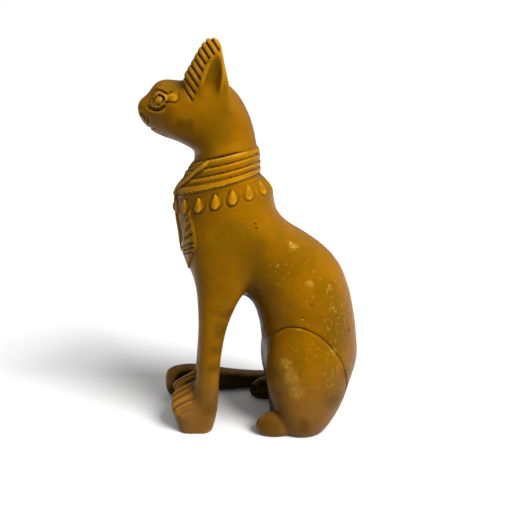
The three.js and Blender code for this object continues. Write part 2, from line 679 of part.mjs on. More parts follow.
function thin(positions, faces, faceCount) {
  const corners = positions.length / 3;
  const around = Array.from({ length: corners }, () => []);
  const quadrics = Array.from({ length: corners }, () => new Float64Array(10));
  const normal = new THREE.Vector3();
  const turned = new THREE.Vector3();
  const alive = new Uint8Array(corners).fill(1);
  const version = new Int32Array(corners);
  const seen = new Int32Array(corners).fill(-1);
  const onFloor = Uint8Array.from({ length: corners }, (_, i) => (positions[3 * i + 2] === 0 ? 1 : 0));
  const used = new Uint8Array(faces.length / 3).fill(1);
  let left = used.length;

  for (let f = 0; f < used.length; f += 1) {
    const [a, b, c] = faces.subarray(3 * f, 3 * f + 3);
    const area = faceNormal(positions, a, b, c, normal).length() / 2;
    normal.normalize();
    const [x, y, z] = normal;
    const w = -(x * positions[3 * a] + y * positions[3 * a + 1] + z * positions[3 * a + 2]);
    const terms = [x * x, x * y, x * z, x * w, y * y, y * z, y * w, z * z, z * w, w * w];
    for (const corner of [a, b, c]) {
      around[corner].push(f);
      terms.forEach((term, i) => { quadrics[corner][i] += area * term; });
    }
  }

  const queue = new PairQueue();
  const sum = new Float64Array(10);
  function offer(a, b) {
    for (let i = 0; i < 10; i += 1) sum[i] = quadrics[a][i] + quadrics[b][i];
    const flat = onFloor[a] || onFloor[b];
    const ends = [a, b].map((corner) => Array.from(positions.subarray(3 * corner, 3 * corner + 3)));
    const length = Math.hypot(ends[0][0] - ends[1][0], ends[0][1] - ends[1][1], ends[0][2] - ends[1][2]);
    const middle = ends[0].map((value, axis) => (value + ends[1][axis]) / 2);
    const best = bestPoint(sum, flat);
    const aside = best && Math.hypot(best[0] - middle[0], best[1] - middle[1], best[2] - middle[2]);
    const close = best && aside < length;
    const places = close ? [best] : [...ends, middle];
    let pair = null;
    for (const place of places) {
      if (flat) place[2] = 0;
      const cost = misfit(sum, ...place) + LENGTH_WEIGHT * length * length;
      if (pair && pair.cost <= cost) continue;
      pair = { cost, a, b, place, versionA: version[a], versionB: version[b] };
    }
    queue.push(pair);
  }

  function neighbours(corner, stamp) {
    const found = [];
    for (const f of around[corner]) {
      for (let i = 0; i < 3; i += 1) {
        const other = faces[3 * f + i];
        if (other !== corner && seen[other] !== stamp) {
          seen[other] = stamp;
          found.push(other);
        }
      }
    }
    return found;
  }

  function keepsFacing(corner, partner, place) {
    const old = positions.slice(3 * corner, 3 * corner + 3);
    let good = true;
    for (const f of around[corner]) {
      const [a, b, c] = faces.subarray(3 * f, 3 * f + 3);
      if (a === partner || b === partner || c === partner) continue;
      faceNormal(positions, a, b, c, normal);
      positions.set(place, 3 * corner);
      faceNormal(positions, a, b, c, turned);
      positions.set(old, 3 * corner);
      const size = normal.length() * turned.length();
      if (turned.length() < 1e-4 || normal.dot(turned) < LEAST_TURN * size) {
        good = false;
        break;
      }
    }
    return good;
  }

  for (let a = 0; a < corners; a += 1) {
    for (const b of neighbours(a, a)) if (b > a) offer(a, b);
  }
  let stamp = corners;
  while (left > faceCount && queue.pairs.length) {
    const { a, b, place, versionA, versionB } = queue.pop();
    if (!alive[a] || !alive[b] || version[a] !== versionA || version[b] !== versionB) continue;
    stamp += 2;
    const ofA = neighbours(a, stamp - 1);
    const ofB = neighbours(b, stamp);
    if (ofA.filter((corner) => ofB.includes(corner)).length !== 2 || ofA.length + ofB.length < 8) continue;
    if (!keepsFacing(a, b, place) || !keepsFacing(b, a, place)) continue;
    positions.set(place, 3 * a);
    for (let i = 0; i < 10; i += 1) quadrics[a][i] += quadrics[b][i];
    for (const f of around[b]) {
      const corner = faces.indexOf(b, 3 * f);
      faces[corner] = a;
      const [p, q, r] = faces.subarray(3 * f, 3 * f + 3);
      if (p === q || q === r || r === p) {
        used[f] = 0;
        left -= 1;
      } else {
        around[a].push(f);
      }
    }
    alive[b] = 0;
    around[b] = [];
    onFloor[a] = onFloor[a] || onFloor[b];
    version[a] += 1;
    stamp += 1;
    const ring = neighbours(a, stamp);
    for (const corner of [a, ...ring]) around[corner] = around[corner].filter((f) => used[f]);
    for (const corner of ring) offer(a, corner);
  }
  const kept = [];
  for (let f = 0; f < used.length; f += 1) if (used[f]) kept.push(...faces.subarray(3 * f, 3 * f + 3));
  return kept;
}

// The space that the form fills, found on a coarse grid
const SCAN_STEP = 4;

function spaceOf(values) {
  const space = new THREE.Box3();
  for (let z = 0; z < 1.5 * DRAWN_HEIGHT; z += SCAN_STEP) {
    for (let y = -DRAWN_HEIGHT / 2; y < DRAWN_HEIGHT / 2; y += SCAN_STEP) {
      for (let x = -DRAWN_HEIGHT / 2; x < DRAWN_HEIGHT / 2; x += SCAN_STEP) {
        if (values(x, y, z) < SCAN_STEP) space.expandByPoint(probe.set(x, y, z));
      }
    }
  }
  return space.expandByScalar(SCAN_STEP + NET_STEP / 2);
}

const FLOOR_SNAP = 0.04;

function castFigure() {
  const { positions, faces } = netOf(field, spaceOf(field), NET_STEP);
  settle(positions, field, 2);
  for (let i = 2; i < positions.length; i += 3) if (positions[i] < FLOOR_SNAP) positions[i] = 0;
  const kept = thin(positions, faces, FACE_COUNT);
  const names = new Map();
  const points = [];
  for (const corner of kept) {
    if (!names.has(corner)) {
      names.set(corner, names.size);
      points.push(...positions.subarray(3 * corner, 3 * corner + 3));
    }
  }
  const geometry = new THREE.BufferGeometry();
  geometry.setAttribute('position', new THREE.Float32BufferAttribute(points, 3));
  geometry.setIndex(kept.map((corner) => names.get(corner)));
  geometry.scale(UNIT, UNIT, UNIT);
  geometry.computeBoundingBox();
  const middle = geometry.boundingBox.getCenter(new THREE.Vector3());
  geometry.translate(-middle.x, -middle.y, 0);
  geometry.computeVertexNormals();
  return geometry;
}

const amberResin = new THREE.MeshStandardMaterial({ color: 0xa06c0a, roughness: 0.42, metalness: 0 });
const figure = new THREE.Mesh(castFigure(), amberResin);
figure.name = 'cat_figure';

const object = new THREE.Group();
object.add(figure);

export default object;
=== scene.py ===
# A seated temple cat, cast in one piece and stained: its fine carving, its finish and a plain studio
import math

import bpy
import numpy as np
from bpy.props import FloatProperty, FloatVectorProperty, IntProperty, PointerProperty
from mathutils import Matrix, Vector
from mathutils.bvhtree import BVHTree
from mathutils.kdtree import KDTree


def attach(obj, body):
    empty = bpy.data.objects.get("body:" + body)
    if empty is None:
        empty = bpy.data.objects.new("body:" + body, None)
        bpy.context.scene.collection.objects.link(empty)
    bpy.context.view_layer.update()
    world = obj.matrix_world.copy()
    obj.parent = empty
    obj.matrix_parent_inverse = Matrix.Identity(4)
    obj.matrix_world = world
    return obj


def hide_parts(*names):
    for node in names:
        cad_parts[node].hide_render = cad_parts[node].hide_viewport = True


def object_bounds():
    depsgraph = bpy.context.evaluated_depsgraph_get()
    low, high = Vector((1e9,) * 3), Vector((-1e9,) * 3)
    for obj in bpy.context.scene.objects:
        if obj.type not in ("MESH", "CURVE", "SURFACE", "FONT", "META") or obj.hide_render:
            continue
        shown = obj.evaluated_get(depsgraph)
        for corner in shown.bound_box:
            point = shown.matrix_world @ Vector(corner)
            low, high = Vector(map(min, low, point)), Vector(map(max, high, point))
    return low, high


bl_info = {
    "name": "Seated cat figure",
    "version": (1, 0, 0),
    "blender": (4, 5, 0),
    "location": "View3D > Sidebar > Cat figure",
    "description": "Carves and finishes a cast seated cat, and sets it in a plain pale studio",
    "category": "Object",
}

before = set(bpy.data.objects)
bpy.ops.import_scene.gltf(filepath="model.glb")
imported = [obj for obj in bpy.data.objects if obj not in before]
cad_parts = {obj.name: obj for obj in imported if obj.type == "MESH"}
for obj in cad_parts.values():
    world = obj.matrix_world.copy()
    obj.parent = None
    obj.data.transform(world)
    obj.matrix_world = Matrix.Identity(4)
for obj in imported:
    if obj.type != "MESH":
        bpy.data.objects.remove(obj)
CAD_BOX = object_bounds()

# The form is drawn in 200ths of the height, with the cat's middle plane at x = 0. From the drawn
# origin the left haunch and the nose reach this far.
UNIT = (CAD_BOX[1].z - CAD_BOX[0].z) / 200
HAUNCH_REACH = 31.77
NOSE_REACH = 58.48
DRAWN_ORIGIN = np.array([CAD_BOX[1].x - HAUNCH_REACH * UNIT, CAD_BOX[0].y + NOSE_REACH * UNIT, 0.0])


def drawn(size):
    """A size in metres as drawn units."""
    return size / UNIT


# Curves and distances


def profile(*keys):
    """A smooth line through (place, value) pairs, level past its ends."""
    places, values = np.array(keys, float).T
    gaps = np.diff(places)
    rises = np.diff(values) / gaps
    slopes = np.concatenate([rises[:1], values[1:-1], rises[-1:]])
    slopes[1:-1] = (rises[:-1] * gaps[1:] + rises[1:] * gaps[:-1]) / (gaps[:-1] + gaps[1:])

    def value(place):
        place = np.clip(place, places[0], places[-1])
        i = np.clip(np.searchsorted(places, place, side="right") - 1, 0, len(gaps) - 1)
        t = (place - places[i]) / gaps[i]
        s = 1 - t
        start = values[i] * (1 + 2 * t) * s * s + slopes[i] * gaps[i] * t * s * s
        return start + values[i + 1] * t * t * (3 - 2 * t) - slopes[i + 1] * gaps[i] * t * t * s

    return value


def join(a, b, blend):
    near = np.maximum(blend - np.abs(a - b), 0) / blend
    return np.minimum(a, b) - near * near * blend / 4


def cut(a, b, blend):
    return -join(-a, -b, blend)


def ease(start, end, value):
    t = np.clip((value - start) / (end - start), 0, 1)
    return t * t * (3 - 2 * t)


def ridge(distance, width):
    return ease(width / 2, 0, np.abs(distance))


def trench(distance, width):
    """A cut of even depth with steep sides."""
    return ease(width / 2, width / 5, np.abs(distance))


def dome(share):
    return np.sqrt(np.clip(1 - share * share, 0, 1))


def repeat(place, pitch):
    """How far a place is from the middle of the pattern's step that it falls in."""
    return np.mod(place, pitch) - pitch / 2


def ellipsoid(centre, radii, lean=0):
    cos, sin = math.cos(math.radians(lean)), math.sin(math.radians(lean))

    def outside(x, y, z):
        u = (x - centre[0]) / radii[0]
        v = ((y - centre[1]) * cos - (z - centre[2]) * sin) / radii[1]
        w = ((y - centre[1]) * sin + (z - centre[2]) * cos) / radii[2]
        reach = np.sqrt(u * u + v * v + w * w)
        slope = np.sqrt((u / radii[0]) ** 2 + (v / radii[1]) ** 2 + (w / radii[2]) ** 2) + 1e-9
        return reach * (reach - 1) / slope

    return outside


def oval(u, v, half_u, half_v, power=2):
    a, b = np.abs(u / half_u), np.abs(v / half_v)
    reach = np.maximum((a**power + b**power) ** (1 / power), 1e-6)
    slope = np.hypot(a ** (power - 1) / half_u, b ** (power - 1) / half_v) / reach ** (power - 1)
    return (reach - 1) / (slope + 1e-9)


def slices(middle, front, back, half, power=2):
    """A form drawn as level slices, each an oval from front to back."""

    def outside(x, y, z):
        near_y, far_y = front(z), back(z)
        return oval(x - middle(z), y - (near_y + far_y) / 2, half(z), (far_y - near_y) / 2, power)

    return outside


def always(value):
    return lambda z: np.full_like(z, value)


def smooth_path(points, steps=6):
    """A smooth line through chosen points, as short straight steps."""
    ends = [2 * np.array(points[0]) - points[1], 2 * np.array(points[-1]) - points[-2]]
    keys = np.vstack([ends[0], points, ends[1]])
    path = []
    for before, start, end, after in zip(keys, keys[1:], keys[2:], keys[3:]):
        for t in np.arange(steps) / steps:
            bend = (end - before) * t + (2 * before - 5 * start + 4 * end - after) * t * t
            path.append(start + (bend + (3 * start - before - 3 * end + after) * t**3) / 2)
    return np.array(path + [keys[-2]])


def path_distance(path, *point):
    """How far a point is from a path, in the plane or in space."""
    point = np.stack(point)
    nearest = np.inf
    for start, end in zip(path, path[1:]):
        way = end - start
        away = point - start[:, None]
        share = np.clip(way @ away / (way @ way), 0, 1)
        nearest = np.minimum(nearest, np.linalg.norm(away - way[:, None] * share, axis=0))
    return nearest


# Body, from rump to shoulders

SHOULDER_TOP = 148
BREAST_FOOT = 66
FORELEG_TOP = 112
trunk = slices(
    middle=always(0),
    front=profile((0, 8), (20, 6), (45, 3.2), (58, 1.2), (68, -2.6), (76, -8), (82, -14), (90, -21),
                  (102, -28), (112, -33), (122, -35), (130, -34.3), (136, -31.7), (142, -29.2), (150, -28.2)),
    back=profile((0, 32), (7, 40.8), (18, 50), (34, 55.6), (48, 55), (62, 52.9), (76, 49.4), (88, 43.9),
                 (97, 35.8), (104, 26.2), (110, 16.6), (116, 11.2), (123, 9.2), (128, 8.2), (132, 5.6),
                 (136, 1.4), (142, 0.2), (150, -1)),
    half=profile((0, 15), (10, 20), (30, 25.5), (48, 25.5), (80, 23.6), (108, 21.2), (127, 19.8),
                 (134, 17.6), (150, 14.8)),
)
breast = slices(
    middle=always(0),
    front=profile((60, -30), (72, -30.8), (80, -32.6), (88, -35.6), (96, -38.3), (106, -39.6), (116, -40.6),
                  (124, -40.2), (129, -37.5), (134, -34), (139, -30.7), (146, -28.8)),
    back=always(-4),
    half=profile((60, 8), (75, 12), (88, 15.5), (100, 17.6), (115, 18.6), (127, 17.6), (136, 16),
                 (146, 14.8)),
)
foreleg = slices(
    middle=profile((0, 11.6), (80, 11.4), (100, 9.5), (118, 8)),
    front=profile((0, -33), (20, -33.5), (40, -32), (55, -31.2), (72, -31.4), (92, -33.4), (118, -34)),
    back=profile((0, -25.4), (10, -22.8), (23, -21.3), (42, -19.4), (60, -15.2), (68, -11.8), (76, -7.6),
                 (90, -3), (118, -6)),
    half=profile((0, 8.2), (15, 7.6), (35, 7.2), (55, 8.2), (72, 10), (88, 12), (118, 11)),
    power=2.4,
)
PAW_FALL = 0.45
PAW_INNER_TOE = 3
PAW_TOP = 27
paw_block = slices(
    middle=always(10.4),
    front=profile((0, -41.6), (6, -43.4), (13, -45.2), (19.5, -45.6), (21.5, -42.6), (24, -38.2),
                  (28, -33.5)),
    back=profile((0, -29.6), (3, -27), (7, -24.6), (13, -23), (27, -22)),
    half=profile((0, 8.6), (6, 9.6), (13, 9.8), (18, 9.2), (20.5, 8), (23, 6.6), (28, 5)),
    power=2.7,
)
WEB_MIDDLE_Y = -26.2
WEB_HALF_WIDTH = 6
WEB_TOP = 95
web_half_thickness = profile((0, 2.2), (WEB_TOP, 5))
thigh = ellipsoid((15.2, 25.4, 28.8), (15, 21, 31), -8)
hock = ellipsoid((21.3, 22.9, 9.5), (10.3, 12.9, 14.5))
hind_foot = ellipsoid((21.4, 9.2, 4), (6.8, 11.1, 7.6))


def upper_arm(side, y, z):
    return cut(foreleg(side, y, z), z - FORELEG_TOP, 14)


def forepaw(side, y, z):
    """A paw whose top falls away from the inner toe to the outer one."""
    level = z + PAW_FALL * (side - PAW_INNER_TOE)
    return cut(paw_block(side, y, level), level - PAW_TOP, 4)


def leg_web(side, y, z):
    """A thin sheet between the forelegs, set back from their fronts."""
    sheet = cut(side - WEB_HALF_WIDTH, np.abs(y - WEB_MIDDLE_Y) - web_half_thickness(z), 2)
    return cut(sheet, z - WEB_TOP, 4)


def haunch(side, y, z):
    return join(thigh(side, y, z), hock(side, y, z), 7)


# Neck, head and ears

NECK_FOOT = 136
NECK_TOP = 184
neck = slices(
    middle=always(0),
    front=profile((134, -30), (142, -28.8), (147, -31.2), (151, -36.2), (156, -39.5), (162, -39.5),
                  (170, -37), (178, -33), (184, -30)),
    back=profile((134, -0.4), (142, 0.2), (150, 0.2), (158, -1.4), (166, -4.2), (173, -9.2), (179, -15.7),
                 (184, -22)),
    half=profile((134, 14.2), (145, 14.2), (156, 15.2), (165, 15.6), (174, 14.4), (184, 9)),
)
skull = ellipsoid((0, -29, 167.4), (16.4, 19.6, 14.2), -8)
cheek = ellipsoid((8.2, -36, 163.5), (8, 11.5, 9.5))
muzzle = ellipsoid((0, -46.8, 164.3), (8.4, 12.7, 8.75), 33)
brow = ellipsoid((0, -40.8, 171.3), (11.5, 12, 9), 39)

EAR_FOOT = 166
EAR_TIP = 200.45
EAR_TURN = 0.2
ear_front = profile((166, -33), (172, -34.8), (178, -35.6), (183.4, -35.1), (188.2, -32.2), (193.2, -29.2),
                    (198, -26.2), (202, -24.8))
ear_back = profile((166, -12), (177.4, -13.7), (184, -15.2), (191.5, -16.7), (197, -17.7), (202, -18.8))
ear_middle = profile((166, 10), (176, 11.6), (184, 12.8), (202, 13.8))
ear_thickness = profile((166, 5.4), (174, 5.2), (182, 4.5), (190, 3.7), (198, 2.8), (202, 2.4))
ear_hollow = ellipsoid((20.6, -22.6, 177.5), (6.6, 4.6, 15.5), 16)


def neck_in_body(x, y, z):
    """The neck, ended inside the shoulders and inside the head."""
    return cut(cut(neck(x, y, z), z - NECK_TOP, 6), NECK_FOOT - z, 4)


def head(x, y, z):
    face = join(join(skull(x, y, z), cheek(np.abs(x), y, z), 5), muzzle(x, y, z), 7)
    return join(face, brow(x, y, z), 5)


def ear(side, y, z):
    near_y, far_y = ear_front(z), ear_back(z)
    along = y - (near_y + far_y) / 2
    across = side - ear_middle(z) - EAR_TURN * along
    leaf = oval(across, along, ear_thickness(z), (far_y - near_y) / 2, 2.3)
    cropped = cut(cut(leaf, z - EAR_TIP, 5), EAR_FOOT - z, 3)
    return cut(cropped, -ear_hollow(side, y, z), 1.6)


# Tail, laid on the ground from the rump to beside the right forepaw

TAIL_HALF_WIDTH = 6.1
TAIL_POWER = 3
TAIL_PATH = smooth_path([(6, 33), (-10, 36.5), (-22, 35.5), (-31, 27), (-35, 13), (-35.2, -2), (-34, -18),
                         (-32.4, -32), (-29.8, -42), (-27.4, -45.6)])
tail_top = profile((-52, 17.2), (-38, 16.8), (-26, 14.4), (-12, 11), (7, 8.5), (30, 9.8), (60, 12))


def tail(x, y, z):
    half_height = tail_top(y) / 2
    return oval(path_distance(TAIL_PATH, x, y), z - half_height, TAIL_HALF_WIDTH, half_height, TAIL_POWER)


def body(x, y, z):
    """The whole uncarved cat. Each form is joined only over the heights where it can be near."""
    side = np.abs(x)
    chest = cut(cut(breast(x, y, z), z - SHOULDER_TOP, 6), BREAST_FOOT - z, 20)
    form = join(cut(trunk(x, y, z), z - SHOULDER_TOP, 6), chest, 9)
    for near, make, across, blend in [
        (z < 125, upper_arm, side, 6),
        (z < 100, leg_web, side, 2.5),
        (z < 36, forepaw, side, 3),
        (z < 70, haunch, side, 6.5),
        (z < 20, hind_foot, side, 1.5),
        ((z < 24) & (x < 10), tail, x, 2),
        (z > 128, neck_in_body, x, 3),
        (z > 140, head, x, 7),
        (z > 158, ear, side, 2.5),
    ]:
        form[near] = join(form[near], make(across[near], y[near], z[near]), blend)
    return form


# Carving, as a height over the body. Each shape takes points and gives their heights in drawn units.
# Routes and outlines hold places as seen from the side, or on the chest rolled out flat.

# Collar, beads and crossed strap
COLLAR_SLOPE = 0.238
COLLAR_TOP = 149.4
CHEST_AXIS_Y = -17.5
BEAD_LEVEL = 129.4
CARVED_EDGE = 0.3
CHEST_RADIUS = 16
STRAP_ROUTE = smooth_path([(29.9, 144.6), (21.5, 143.4), (17.5, 141.6), (12.6, 137.8), (7.1, 132.2),
                           (1.95, 128), (0, 120.7)], steps=3)
STRAP_SINKS = (16, 22)
KNOB_PLACE = (0, -42.5, 118.6)
NAPE_SHARE = 0.45
TOP_SHARE = 0.6
# Winged pendant
PENDANT_AXIS_Y = -20
PENDANT_RADIUS = 18
WING_RIM = smooth_path([(14, 122.4), (15.2, 120.1), (15.9, 116.6), (16.4, 113.3), (17.1, 108.8),
                        (17.7, 105.9), (18, 102), (17.3, 99.1), (15.8, 96.9), (14.2, 93.4), (10.5, 89.6),
                        (5.5, 87), (0, 86)])
wing_half = profile((86, 0.5), (87, 5.5), (89.6, 10.5), (93.4, 14.2), (96.9, 15.8), (99.1, 17.3), (102, 18),
                    (105.9, 17.7), (113.3, 16.4), (120.1, 15.2))
wing_inner = profile((98, 2), (103, 7.5), (108, 9.6), (112, 11.2), (116, 13), (120.1, 14.8))
WING_TIP = 120.4
FEATHER_CUTS = [((12.6, 113.4), (14, 115.4)), ((12.4, 108.8), (14.9, 111.8)), ((11.6, 104.4), (15.9, 107.4)),
                ((5.4, 102), (7.4, 105)), ((3.6, 97.6), (16.4, 103)), ((7.6, 97.2), (16.7, 100.9)),
                ((6.6, 95), (15.6, 98.4))]
FAN_CENTRE = 101
FAN_TURN = 0.21
CORE_LEVEL = 107
# Face
EYE_CENTRE = (-47.8, 171.6)
EYE_TILT = math.radians(27)
LID_LINE = smooth_path([(-49.9, 173.3), (-47.3, 175), (-44.9, 174), (-43.9, 172.4), (-45, 170.7),
                        (-47.2, 168.9), (-49.5, 168.9), (-51, 170.6), (-49.9, 173.3)], steps=4)
UNDER_EYE_LINE = smooth_path([(-52.7, 168.6), (-51.2, 167.8), (-49.4, 167.2), (-47, 167.4), (-45, 168.8)])
BROW_LINE = smooth_path([(-51.6, 174), (-50.6, 175.5), (-49.2, 176.4), (-47.7, 176.5), (-46, 176),
                         (-44.5, 175.1), (-42.8, 174.8), (-41.3, 175.5)])
CHEEK_LINE = smooth_path([(-43.6, 170.6), (-42.4, 171), (-41.2, 170.8), (-39.7, 170.4), (-38.5, 171.6),
                          (-37.9, 173.4), (-38.1, 175.4)])
MOUTH_LINE = smooth_path([(-56, 159.3), (-53.6, 158.5), (-50, 158.2)])
WHISKER_CUTS = [((-57.3, 166.2), (-56.8, 164.6)), ((-55.8, 165.6), (-55.6, 163.8)),
                ((-54.7, 164.4), (-54.6, 161.8)), ((-53.2, 163.4), (-53.3, 161))]
WHISKER_DOT = (-54, 161.9)
# Ears, thighs and toes
EAR_CUT_START = 66.8
EAR_CUT_END = 92.7
EAR_CUT_WAY = (0.83, 0.55)
EAR_CUT_FOOT = 170.2
EAR_EDGE_SHARE = 0.4
ear_cut_limit = profile((168, -32.5), (172.6, -30.8), (179.3, -28.3), (186.6, -25.7), (190.6, -23.2),
                        (193, -19.6), (201, -16.5))
THIGH_LINE = smooth_path([(3.6, 49), (5.4, 50.7), (8.6, 55), (14.2, 58.9), (21.6, 59.1), (30.8, 54.4),
                          (38.1, 46.7), (43.3, 37.8), (46, 26), (45.8, 19), (44.4, 12.5)])
THIGH_LIP = smooth_path([(4.9, 48.4), (6.7, 50.1), (9.4, 53.9), (14.5, 57.7), (21.4, 57.9), (27.6, 54.9)])
TOE_START = 1.2
TOES_REACH = (3, 19)
HIND_TOE_START = 13
HIND_TOES_REACH = (14, 23.6)


def collar_level(y, z):
    return z - COLLAR_SLOPE * y


def at_nape(y):
    return ease(-14, -3, y)


def at_throat(y):
    return ease(-20, -31, y)


class Carving:
    """The carving at the sizes that a user sets."""

    def __init__(self, sizes):
        self.sizes = sizes
        widths = [sizes.band_width] * sizes.bands + [sizes.low_band_width] * sizes.low_bands
        self.band_edges = COLLAR_TOP - drawn(np.cumsum([0, *widths]))
        self.collar_foot = self.band_edges[-1]

    def size(self, name):
        """A size in drawn units."""
        return drawn(getattr(self.sizes, name))

    def bands(self, y, level):
        """Lapped bands, each with a proud upper edge, parted by narrow grooves.

        They are lower at the nape, and again along their upper edge at the nape and the throat.
        """
        down = COLLAR_TOP - level
        inside = ease(-CARVED_EDGE, CARVED_EDGE, down)
        inside = inside * ease(-CARVED_EDGE, CARVED_EDGE, level - self.collar_foot)
        lip, groove = 0, 0
        for edge in self.band_edges:
            groove = np.maximum(groove, trench(level - edge, self.size("band_groove_width")))
            lip = np.maximum(lip, ease(2.4, 0.5, edge - level) * (level < edge))
        top = ease(3, 0.2, down) * np.maximum(at_nape(y), at_throat(y))
        rise = self.size("band_rise") * (1 - NAPE_SHARE * at_nape(y)) * (1 - TOP_SHARE * top)
        trim = 0.35 * ridge(level - self.collar_foot + 1.6, 1.5)
        return inside * (rise * (0.8 + 0.2 * lip) - self.size("band_groove_depth") * groove) + trim

    def strap(self, side, y, z, level):
        """A strap laid over the bands and down the chest, and the knob at its foot."""
        half = self.size("strap_width") / 2
        across = CHEST_RADIUS * np.arctan2(side, CHEST_AXIS_Y - y)
        away = path_distance(STRAP_ROUTE, across, z)
        sunk = ease(*STRAP_SINKS, across)
        down = self.collar_foot - level
        under = self.size("band_rise") * (0.4 * ease(9, 2, down) + 0.6 * ease(2, -0.5, down))
        strap = under + self.size("strap_rise") * (0.45 + 0.55 * dome(away / half))
        strap = strap * (1 - sunk) * ease(half + 0.2, half - 0.2, away)
        knob_away = np.sqrt(side**2 + (y - KNOB_PLACE[1]) ** 2 + (z - KNOB_PLACE[2]) ** 2)
        knob = dome(knob_away / (self.size("knob_width") / 2))
        beside = self.size("strap_groove_depth") * (1 - sunk) * trench(away - half - 0.5, 1.1)
        return np.maximum(strap * (level < COLLAR_TOP + 1), self.size("knob_rise") * knob), beside

    def beads(self, x, y, z):
        """Rounded drops, point up, each with a groove and a fine proud ring round its lower end."""
        pitch = 2 * math.pi / self.sizes.beads
        across = repeat(np.arctan2(x, CHEST_AXIS_Y - y), pitch) * np.hypot(x, y - CHEST_AXIS_Y)
        length, half = self.size("bead_length"), self.size("bead_width") / 2
        up = collar_level(y, z) - BEAD_LEVEL
        share = np.clip(up / length + 0.5, 0, 1)
        outline = half * 2.6 * np.sqrt(share) * (1 - share) + 1e-3
        fullness = np.clip(1 - (across / outline) ** 2, 0, 1) ** 0.85
        drop = self.size("bead_rise") * (1 - NAPE_SHARE * at_nape(y)) * fullness * (1 - 0.35 * share)
        ring = oval(across, up + 0.08 * length, 1.12 * half, 0.52 * length)
        lower = ease(length / 3, -length / 8, up)
        depth = self.size("bead_ring_depth")
        return np.where(drop > 0, drop, lower * depth * (0.8 * ridge(ring - 1.3, 1) - ridge(ring - 0.2, 1.3)))

    def pendant(self, side, y, z):
        """A pair of feathered wings with a raised rim, a smooth core between them and a fan at the foot."""
        across = PENDANT_RADIUS * np.arctan2(side, PENDANT_AXIS_Y - y)
        half = wing_half(z)
        outline = ease(0.6, -0.6, across - half)
        wing = outline * ease(-0.6, 0.6, across - wing_inner(z)) * ease(WING_TIP, WING_TIP - 1, z)
        wing = np.maximum(wing, outline * ease(100, 98, z) * ease(86.4, 87.4, z))
        cuts = 0
        width = self.size("feather_cut_width")
        for cut_ends in FEATHER_CUTS:
            cuts = np.maximum(cuts, trench(path_distance(np.array(cut_ends), across, z), width))
        turn = np.arctan2(across, FAN_CENTRE - z)
        radius = np.hypot(across, FAN_CENTRE - z)
        fan = trench(repeat(turn, FAN_TURN) * radius, width) * ease(4.5, 5.5, radius)
        fan = fan * ease(95.5, 94, z + 0.25 * across)
        rim = ridge(path_distance(WING_RIM, across + 0.6, z), self.size("pendant_rim_width"))
        core = ease(0.5, -0.9, oval(across, z - CORE_LEVEL, 4.4, 12.5))
        moat = 0.35 * ridge(oval(across, z - CORE_LEVEL, 5.1, 13.2), 1.2) * ease(120, 118, z)
        shield = 0.85 * wing * (1 - 1.1 * np.maximum(cuts, fan * ease(-1.2, -2, across - half)))
        height = np.maximum(shield, 1.25 * core) - moat
        return self.size("pendant_rise") * (height + 0.4 * rim * ease(WING_TIP + 0.6, WING_TIP - 0.6, z))

    def eye(self, y, z):
        """An eyeball in its socket, the lid line round it and a crescent cut below."""
        along, up = y - EYE_CENTRE[0], z - EYE_CENTRE[1]
        u = along * math.cos(EYE_TILT) + up * math.sin(EYE_TILT)
        v = up * math.cos(EYE_TILT) - along * math.sin(EYE_TILT)
        length, height = self.size("eye_length") / 2, self.size("eye_height") / 2
        ball_line = oval(u, v, length, height)
        ball = self.size("eye_rise") * dome(np.hypot(u / length, v / height))
        socket = self.size("face_cut_depth") * trench(ball_line - 0.45, 1.5)
        lid_away = path_distance(LID_LINE, y, z)
        lid = self.size("lid_rise") * ridge(lid_away, 1.7)
        under = path_distance(UNDER_EYE_LINE, y, z)
        rest = 0.25 * ridge(under - 1.2, 1) * ease(168.4, 167.4, z + 0.18 * (y + 49))
        crescent = 1.4 * self.size("face_cut_depth") * trench(under, 1.8)
        raised = np.maximum(ball, lid) - socket * ease(0.1, 0.6, lid_away)
        return raised - crescent * ease(0.2, 0.8, lid_away) + rest

    def face(self, side, y, z):
        """The eyes, brows, cheek lobes and lines, and the cuts of the muzzle."""
        width, depth = self.size("face_cut_width"), self.size("face_cut_depth")
        brow_cut = depth * trench(path_distance(BROW_LINE, y, z), 1.2 * width)
        height = ease(4, 6.5, side) * (self.eye(y, z) - brow_cut)
        lobe = 0.7 * dome(np.hypot((y + 41.4) / 3.4, (z - 173) / 2.3))
        cheek_cut = 0.6 * depth * trench(path_distance(CHEEK_LINE, y, z), width)
        height += ease(6, 9, side) * (lobe - cheek_cut)
        height -= depth * trench(path_distance(MOUTH_LINE, y, z), width)
        for slit in WHISKER_CUTS:
            height -= ease(1, 2.5, side) * depth * trench(path_distance(np.array(slit), y, z), 0.8 * width)
        dot = np.hypot(y - WHISKER_DOT[0], z - WHISKER_DOT[1])
        height += ease(1, 2.5, side) * 0.4 * ease(0.8, 0.2, dot)
        lip = ease(158, 159, z) * ease(165.5, 164, z) * ease(-47, -49, y)
        return height - depth * ridge(side, width) * lip

    def ear_cuts(self, y, z):
        """Cuts across the front rim of each ear, slanting down and back, and shallower on its edge."""
        along = EAR_CUT_WAY[0] * y + EAR_CUT_WAY[1] * z
        cuts = trench(repeat(along - EAR_CUT_START, self.size("ear_cut_pitch")), self.size("ear_cut_width"))
        inside = ease(-0.8, 0.4, ear_cut_limit(z) - y) * ease(EAR_CUT_FOOT, EAR_CUT_FOOT + 1.8, z)
        inside = inside * ease(EAR_CUT_START - 0.5, EAR_CUT_START + 0.3, along)
        inside = inside * ease(EAR_CUT_END, EAR_CUT_END - 0.6, along)
        inside = inside * (EAR_EDGE_SHARE + (1 - EAR_EDGE_SHARE) * ease(0, 2.2, y - ear_front(z)))
        return self.size("ear_cut_depth") * inside * cuts

